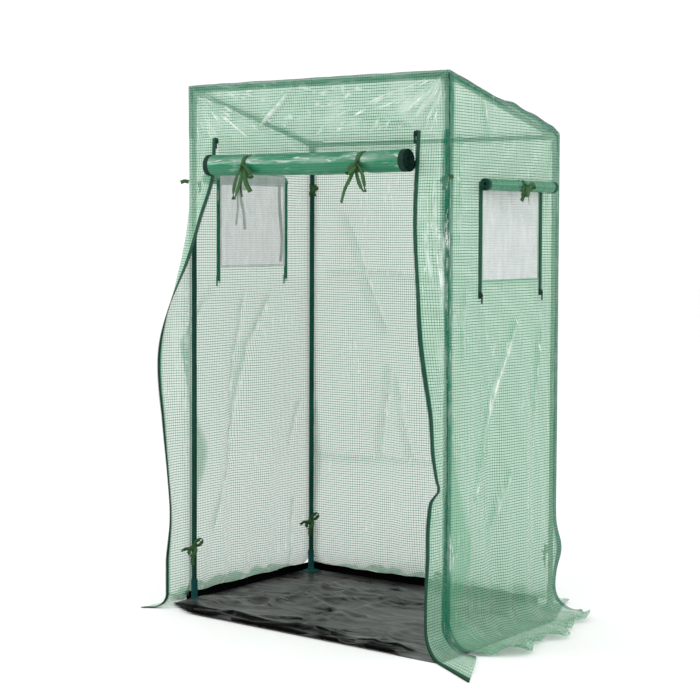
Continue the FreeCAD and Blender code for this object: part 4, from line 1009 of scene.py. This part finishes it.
def ribbon_strip(points, sides, width=RIBBON_WIDTH, per_step=7):
    """Corners of a flat ribbon along a smooth path; sides are the way its width lies at each point."""
    points = np.array(points, float)
    sides = np.broadcast_to(np.array(sides, float), points.shape)
    stops = np.concatenate([[0], np.cumsum(np.linalg.norm(np.diff(points, axis=0), axis=1))])
    at = np.linspace(0, stops[-1], per_step * (len(points) - 1) + 1)
    path = smooth_line(stops, points, at)
    wide = smooth_line(stops, sides, at)
    ahead = np.gradient(path, at, axis=0)
    ahead /= np.linalg.norm(ahead, axis=1)[:, None]
    wide -= ahead * (wide * ahead).sum(axis=1)[:, None]
    wide /= np.linalg.norm(wide, axis=1)[:, None]
    half_w, half_t = wide * width / 2, np.cross(ahead, wide) * RIBBON_THICK / 2
    rings = np.stack([path - half_w - half_t, path + half_w - half_t, path + half_w + half_t,
                      path - half_w + half_t], axis=1)
    return rings, at, width


def ribbon_piece(name, strips, material):
    """One mesh from several ribbon strips, closed at their ends."""
    places, faces, flat = [], [], []
    for rings, at, width in strips:
        first = len(places)
        places += rings.reshape(-1, 3).tolist()
        for i in range(len(rings) - 1):
            here, there = first + 4 * i, first + 4 * (i + 1)
            for j in range(4):
                k = (j + 1) % 4
                faces.append([there + j, there + k, here + k, here + j])
                right = width if j in (0, 2) else RIBBON_THICK
                flat += [(0, at[i + 1]), (right, at[i + 1]), (right, at[i]), (0, at[i])]
        last = first + 4 * (len(rings) - 1)
        faces += [[first, first + 1, first + 2, first + 3], [last + 3, last + 2, last + 1, last]]
        flat += [(0, 0), (width, 0), (width, RIBBON_THICK), (0, RIBBON_THICK)] * 2
    mesh = bpy.data.meshes.new(name)
    mesh.from_pydata(places, [], faces)
    mesh.uv_layers.new(name="Cut").data.foreach_set("uv", np.array(flat).ravel())
    work = bmesh.new()
    work.from_mesh(mesh)
    bmesh.ops.recalc_face_normals(work, faces=work.faces)
    work.to_mesh(mesh)
    work.free()
    return new_piece(name, mesh, material)


def bow(knot, along, out, loops, tails, width=RIBBON_WIDTH):
    """Bow in front of a knot. along is to the right seen from the front, out is towards the eye.

    Loops and tails are given by where they end, across and up from the knot, then a loop's belly in
    metres or a tail's twist in degrees.
    """
    knot, along, out = (np.array(vector, float) for vector in (knot, along, out))
    turns = np.radians(np.arange(-60, 361, 60))
    band = [knot + out * 0.0045 * math.cos(turn) + UP * 0.006 * math.sin(turn) for turn in turns]
    strips = [ribbon_strip(band, along, width * 0.62)]
    for across, rise, belly in loops:
        far = along * across + UP * rise
        wing = np.cross(out, far / np.linalg.norm(far))
        start, tilt = out * 0.7 + wing * 0.4, out * 0.35 + wing * 0.94
        path = [knot + out * 0.003, knot + far * 0.35 + wing * belly + out * 0.008,
                knot + far * 0.8 + wing * belly * 0.8 + out * 0.01, knot + far + out * 0.005,
                knot + far * 0.8 - wing * belly * 0.7 + out * 0.003,
                knot + far * 0.35 - wing * belly * 0.8 + out * 0.002, knot + out * 0.002]
        strips.append(ribbon_strip(path, [start, tilt, tilt, out, tilt, tilt, start], width))
    for across, rise, twist in tails:
        far = along * across + UP * rise
        wing = np.cross(out, far / np.linalg.norm(far))
        path = [knot + out * 0.003, knot + far * 0.3 + out * 0.007 + wing * 0.003,
                knot + far * 0.65 + out * 0.006 - wing * 0.003, knot + far + out * 0.004]
        angles = np.radians([0, twist * 0.4, twist * 0.8, twist])
        strips.append(ribbon_strip(path, [wing * math.cos(a) + out * math.sin(a) for a in angles], width))
    return strips


def roll_band(centre, radius, along, out, width=RIBBON_WIDTH):
    """Ribbon round a roll, open behind where the curtain comes down to it."""
    centre, out = np.array(centre), np.array(out, float)
    turns = np.radians(np.linspace(125, -95, 12))
    path = [centre + out * radius * math.cos(turn) + UP * radius * math.sin(turn) for turn in turns]
    return ribbon_strip(path, along, width)


ribbon_green = woven_finish("ribbon_green", dark=(0.018, 0.07, 0.02), light=(0.05, 0.14, 0.046), rib=0.0016)
strips = []
band = ROLL_OUT * (1 - TIE_PINCH) + RIBBON_ROOM
right_hand, outward = (1, 0, 0), (0, -1, 0)
for side, loops, tails in (
        (-1, ((-0.030, -0.105, 0.012), (0.044, -0.036, 0.009)),
         ((0.004, -0.098, 30), (0.038, -0.082, -40))),
        (1, ((0.034, -0.086, 0.012), (-0.03, -0.03, 0.008)),
         ((-0.053, -0.118, 25), (-0.023, -0.064, 60)))):
    x = side * TIE_X
    z = ROLL_Z + float(roll_sag(x))
    strips.append(roll_band((x, ROLL_Y, z), band, right_hand, outward))
    strips += bow((x, ROLL_Y - band - 0.004, z - 0.004), right_hand, outward, loops, tails)
carry(ribbon_piece("door_tie_ribbons", strips, ribbon_green), "door", "door_ties")


# Side windows: fine white net sewn behind an opening in each wall, zip tape down both jambs, and a
# film flap rolled up outside over the window, its edges bound with tape and tied with one ribbon.
NET_HALF, NET_Z = 0.174, (1.073, 1.387)
OPENING_MIDDLE, OPENING_HALF = 1.23, 0.148
JAMB_AT, JAMB_Z, JAMB_WIDTH = 0.1805, (1.378, 1.028), 0.018
JAMB_TEETH = (0.003, (0.0016, 0.003, 0.0016))
LOOSE_AT, LOOSE_Z, LOOSE_WIDTH = 0.15, (1.37, 1.09), 0.016
WINDOW_ROLL_X, WINDOW_ROLL_Z = 0.5344, 1.369
WINDOW_ROLL_OUT, WINDOW_ROLL_CORE, WINDOW_LENGTH = 0.019, 0.005, 0.33
WINDOW_ROLL_HALF = 0.208
WINDOW_FILM_HALF = WINDOW_ROLL_HALF - 0.015
WINDOW_TAPE_THICK, WINDOW_PINCH = 0.0015, 0.12
WINDOW_SEAM_Z, WINDOW_SEAM_OUT = 1.3911, 0.0008
CURTAIN_HALF = 0.170
WINDOW_BAND_WIDTH, WINDOW_BOW_WIDTH = 0.012, 0.013


def net_finish():
    """Knitted white net: fine threads, with heavier ones at even steps."""
    make = Finish("insect_net")
    cut = make.on_cut()
    axes = make.add("SeparateXYZ", {"Vector": cut}).outputs
    thread, rib = (make.work("MAXIMUM", *(make.threads(axes[way], pitch, half, 0.1) for way in "XY"))
                   for pitch, half in ((0.0028, 0.1), (0.0075, 0.12)))
    cloud = make.cloud(make.stretched(cut, (34, 9, 1)), 1, 5, Distortion=0.6)
    tone = make.tones(cloud, (0.32, 0.54, 0.57, 0.56), (0.68, 0.76, 0.79, 0.78))
    solid = make.work("MAXIMUM", thread, rib)
    return make.done({"Base Color": make.mix(make.spread(rib, 0, 1, 0, 0.5), tone, (0.36, 0.38, 0.4, 1)),
                      "Roughness": make.spread(cloud, 0.3, 0.7, 0.5, 0.65),
                      "Normal": make.bump(thread, 0.4, 0.0004),
                      "Alpha": make.spread(solid, 0, 1, 0.26, 0.88)})


insect_net = net_finish()
window_film = film_finish("window_curtain_film_finish", "Y")


def on_wall(side, along, out, up):
    """Places on a side wall from along it, out from its middle plane, and up."""
    return joined(side * (WALL_X + out), along, up)


def window_pinch(span):
    return WINDOW_PINCH * np.exp(-(span / 0.016) ** 2)


def window_spiral(centre, side, begin, end, count):
    """Wound film put on a side wall's roll, and its flat cut."""
    spans = np.linspace(begin, end, count)
    spiral, cut = wound_grid(spans, WINDOW_ROLL_OUT, WINDOW_ROLL_CORE, WINDOW_LENGTH, window_pinch,
                             np.zeros_like, 41 + side)
    return joined(-side * spiral[..., 1], spiral[..., 0], spiral[..., 2]) + centre, cut


for side, name, shift, rise, loops, tails in (
        (-1, "left", 0.0, LEFT_RISE, ((-0.02, -0.03, 0.006), (0.018, -0.034, 0.006)),
         ((-0.024, -0.165, 8), (0.024, -0.15, -10))),
        (1, "right", RIGHT_SHIFT, 0.0, ((-0.024, -0.03, 0.008), (0.036, -0.006, 0.008)),
         ((-0.034, -0.046, 20), (0.012, -0.056, -30)))):
    window, body, wall = name + "_window", name + "_window_flap", name + "_wall_panel"
    outward, right_hand = (side, 0, 0), (0, side, 0)
    roll_z, seam_z = WINDOW_ROLL_Z + rise, WINDOW_SEAM_Z + rise
    along, up = sheet_grid((shift - NET_HALF, shift + NET_HALF, 46), (*NET_Z, 40))
    up += rise
    from_middle = (up - rise - OPENING_MIDDLE) / OPENING_HALF
    hollow = unit(1 - ((along - shift) / WINDOW_HALF) ** 2) * unit(1 - from_middle ** 2)
    out = -0.0009 - 0.006 * hollow * rumple(along * 11, up * 6, 31 + side)
    net = grid_piece(window + "_net_cloth", on_wall(side, along, out, up), joined(along, up),
                     insect_net, outward)
    sew_in(net, window + "_net")

    tape_strips, tooth_paths = [], []
    for end in (-1, 1):
        path = []
        for height in np.linspace(*JAMB_Z, 15) + rise:
            sway = 0.0008 * noise.noise((height * 14, end, side))
            lift = 0.00095 + 0.0002 * noise.noise((height * 11, end + 4, side))
            path.append(on_wall(side, shift + end * JAMB_AT + sway, lift, height))
        tape_strips.append(ribbon_strip(path, (0, 1, 0), JAMB_WIDTH, 4))
        to_teeth = np.array([-side * 0.0006, end * 0.0062, 0])
        tooth_paths.append(([place - to_teeth for place in path], [outward] * len(path)))
    if side < 0:
        # A loose strip hangs behind the left net
        loose = []
        for height in np.linspace(*LOOSE_Z, 11):
            sway = 0.007 * math.sin((height - 1.08) * 20)
            loose.append(on_wall(side, shift + LOOSE_AT + sway, -0.0002, height + rise))
        tape_strips.append(ribbon_strip(loose, (0, 1, 0), LOOSE_WIDTH, 4))
    tapes = ribbon_piece(window + "_jamb_tapes", tape_strips, zip_tape)
    teeth = set_row(window + "_teeth", tooth_paths, *JAMB_TEETH, zip_teeth)
    carry(tapes, "house", window + "_tapes")
    carry(teeth, "house")

    centre = np.array([side * WINDOW_ROLL_X, shift, roll_z])
    spiral, cut = window_spiral(centre, side, -WINDOW_FILM_HALF, WINDOW_FILM_HALF, 61)
    roll = grid_piece(window + "_roll_film", spiral, cut, roll_film, ROLL_OUTWARD)
    ends = []
    for end, begin, stop, node in (
            ("front", -WINDOW_ROLL_HALF, -WINDOW_FILM_HALF, window + "_roll_tapes"),
            ("back", WINDOW_FILM_HALF, WINDOW_ROLL_HALF, None)):
        spiral, cut = window_spiral(centre, side, begin, stop, 4)
        tape = grid_piece(f"{window}_roll_{end}_tape", spiral, cut, zip_tape, ROLL_OUTWARD)[0]
        thicken(tape, WINDOW_TAPE_THICK)
        carry(tape, body, node)
        ends.append(tape)
    sew_in(roll, window + "_roll", body=body)

    along, share = sheet_grid((shift - CURTAIN_HALF, shift + CURTAIN_HALF, 46), (0, 1, 44))
    tuck = WINDOW_ROLL_X - WINDOW_ROLL_OUT * (1 - window_pinch(along - shift)) - WALL_X
    out = WINDOW_SEAM_OUT + (tuck - WINDOW_SEAM_OUT) * eased(share)
    up = seam_z - (seam_z - roll_z) * share
    fall = grid_piece(window + "_curtain_film", on_wall(side, along, out, up), joined(along, up),
                      window_film, outward)
    sew_in(fall, window + "_curtain", body=None)
    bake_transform(fall[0])

    band = WINDOW_ROLL_OUT * (1 - WINDOW_PINCH) + RIBBON_ROOM
    tie = [roll_band(centre, band, right_hand, outward, WINDOW_BAND_WIDTH)]
    tie += bow(centre + np.array([side * (band + 0.0035), 0, -0.002]), right_hand, outward, loops, tails,
               WINDOW_BOW_WIDTH)
    carry(ribbon_piece(window + "_tie_ribbon", tie, ribbon_green), body, window + "_tie")


# Zip sliders: die-cast bodies with a flat pull plate hung in a wire bridge, lacquered dark green.
# They keep the shape they were cast in.
zip_hardware = hard_finish("zip_hardware", dark=(0.01, 0.028, 0.02), light=(0.02, 0.05, 0.036),
                           wear_and_highlight=(0.16, 0.19, 0.17), grain=500, gloss=0.28)
for side in ("left", "right"):
    for place in ("door", "window_front", "window_back"):
        finish_nodes(zip_hardware, f"{side}_{place}_slider", f"{side}_{place}_pull")


# Post ties: ribbons sewn inside the cover and tied round the posts at two heights, in small bows
# that face the middle of the house. No two are tied alike. Two sewn ends stick out at the front.
TIE_HEIGHTS = (0.190, 1.385)
TIE_RING, TIE_KNOT = 0.0088, 0.0125
TIE_WIDTH = 0.012
STUB_X, STUB_Y = 0.5045, 0.3285
POSTS = ((-POST_X, -POST_Y), (POST_X, -POST_Y), (-POST_X, POST_Y), (POST_X, POST_Y))
strips = []
for number, (x, y) in enumerate(POSTS):
    for level, height in enumerate(TIE_HEIGHTS):
        inward = -Vector((x, y, 0)).normalized()
        inward = Vector((inward.x, inward.y * 1.4, 0)).normalized()
        if x < 0 and level == 0:
            inward = Vector((0.75, -0.66, 0)).normalized()
        right_hand = Vector((0, 0, 1)).cross(-inward)
        ring = [np.array([x + TIE_RING * math.cos(turn), y + TIE_RING * math.sin(turn), height])
                for turn in np.radians(np.arange(0, 361, 30))]
        strips.append(ribbon_strip(ring, UP, TIE_WIDTH))
        vary = 0.9 + 0.4 * noise.noise((number * 3.7, level * 5.1, 2))
        other = 0.9 + 0.4 * noise.noise((number * 2.9, level * 4.3, 7))
        loops = ((-0.026 * vary, 0.024 * other, 0.009), (0.02 * other, -0.03, 0.009))
        tails = ((0.008 * vary, -0.07 * other, 30), (0.05 * other, -0.016, -35))
        if level == 1:
            loops = ((-0.014 * vary, -0.012, 0.005),)
            tails = ((-0.008, -0.04 * vary, 30), (0.012 * other, -0.034, -35))
        knot = np.array([x, y, height]) + np.array(inward) * TIE_KNOT
        strips += bow(knot, right_hand, inward, loops, tails, TIE_WIDTH)
    # Sewn end, out through the corner seam on the door side
    if y < 0:
        out = np.array([math.copysign(1, x), -0.55, 0])
        root = np.array([math.copysign(STUB_X, x), -STUB_Y, TIE_HEIGHTS[1]])
        stub = [root, root + out * 0.011 + (0, 0, 0.003), root + out * 0.024 + (0, 0, -0.001)]
        strips.append(ribbon_strip(stub, UP, TIE_WIDTH))
carry(ribbon_piece("post_tie_ribbons", strips, ribbon_green), "house", "post_ties")


# Studio: a wide pale floor, an even white sky and three soft boxes, seen from the right of the door.
FLOOR_HALF, FLOOR_Z = 30, -0.0004
SKY_STRENGTH = 1.06
CAMERA_AT = (3.161, -4.443, 1.234)
SENSOR, FOCAL_LENGTH, SHIFT_Y = 36, 86.19, -0.057
floor_mesh = bpy.data.meshes.new("studio_floor")
floor_corners = [(x * FLOOR_HALF, y * FLOOR_HALF, 0) for x, y in ((-1, -1), (1, -1), (1, 1), (-1, 1))]
floor_mesh.from_pydata(floor_corners, [], [(0, 1, 2, 3)])
make = Finish("studio_paper")
fibre = make.tones(make.cloud(make.place(), 3, 4), (0.3, 0.945, 0.945, 0.945), (0.7, 0.96, 0.96, 0.96))
floor = new_piece("studio_floor", floor_mesh, make.done({"Base Color": fibre, "Roughness": 0.8}))
floor.location.z = FLOOR_Z

world = bpy.data.worlds.new("studio_sky")
world.use_nodes = True
world.node_tree.nodes["Background"].inputs["Color"].default_value = (1, 1, 1, 1)
world.node_tree.nodes["Background"].inputs["Strength"].default_value = SKY_STRENGTH
bpy.context.scene.world = world
for name, power, size, place, aim in (
        ("soft_box_left", 40, 0.8, (-2.6, -2.7, 2.6), (0, 0, 0.9)),
        ("soft_box_right", 14, 1.2, (3.0, -1.2, 3.2), (0.2, 0, 0.9)),
        ("soft_box_back", 24, 0.8, (3.4, 3.6, 2.3), (0.2, 0, 0.9))):
    lamp = bpy.data.lights.new(name, "AREA")
    lamp.energy = power
    lamp.size = size
    box = bpy.data.objects.new(name, lamp)
    box.location = place
    box.rotation_euler = (Vector(aim) - Vector(place)).to_track_quat("-Z", "Y").to_euler()
    bpy.context.scene.collection.objects.link(box)

yaw, pitch, roll = math.radians(36.20), math.radians(2.77), math.radians(0.24)
ahead = Vector((-math.sin(yaw) * math.cos(pitch), math.cos(yaw) * math.cos(pitch), -math.sin(pitch)))
level = Vector((math.cos(yaw), math.sin(yaw), 0))
upward = level.cross(ahead)
across = level * math.cos(roll) + upward * math.sin(roll)
upward = upward * math.cos(roll) - level * math.sin(roll)
lens = bpy.data.cameras.new("camera")
lens.sensor_width = SENSOR
lens.lens = FOCAL_LENGTH
lens.shift_y = SHIFT_Y
camera = bpy.data.objects.new("camera", lens)
turn = Matrix((across, upward, -ahead)).transposed().to_4x4()
camera.matrix_world = Matrix.Translation(CAMERA_AT) @ turn
bpy.context.scene.collection.objects.link(camera)
bpy.context.scene.camera = camera
bpy.context.scene.view_settings.view_transform = "Standard"
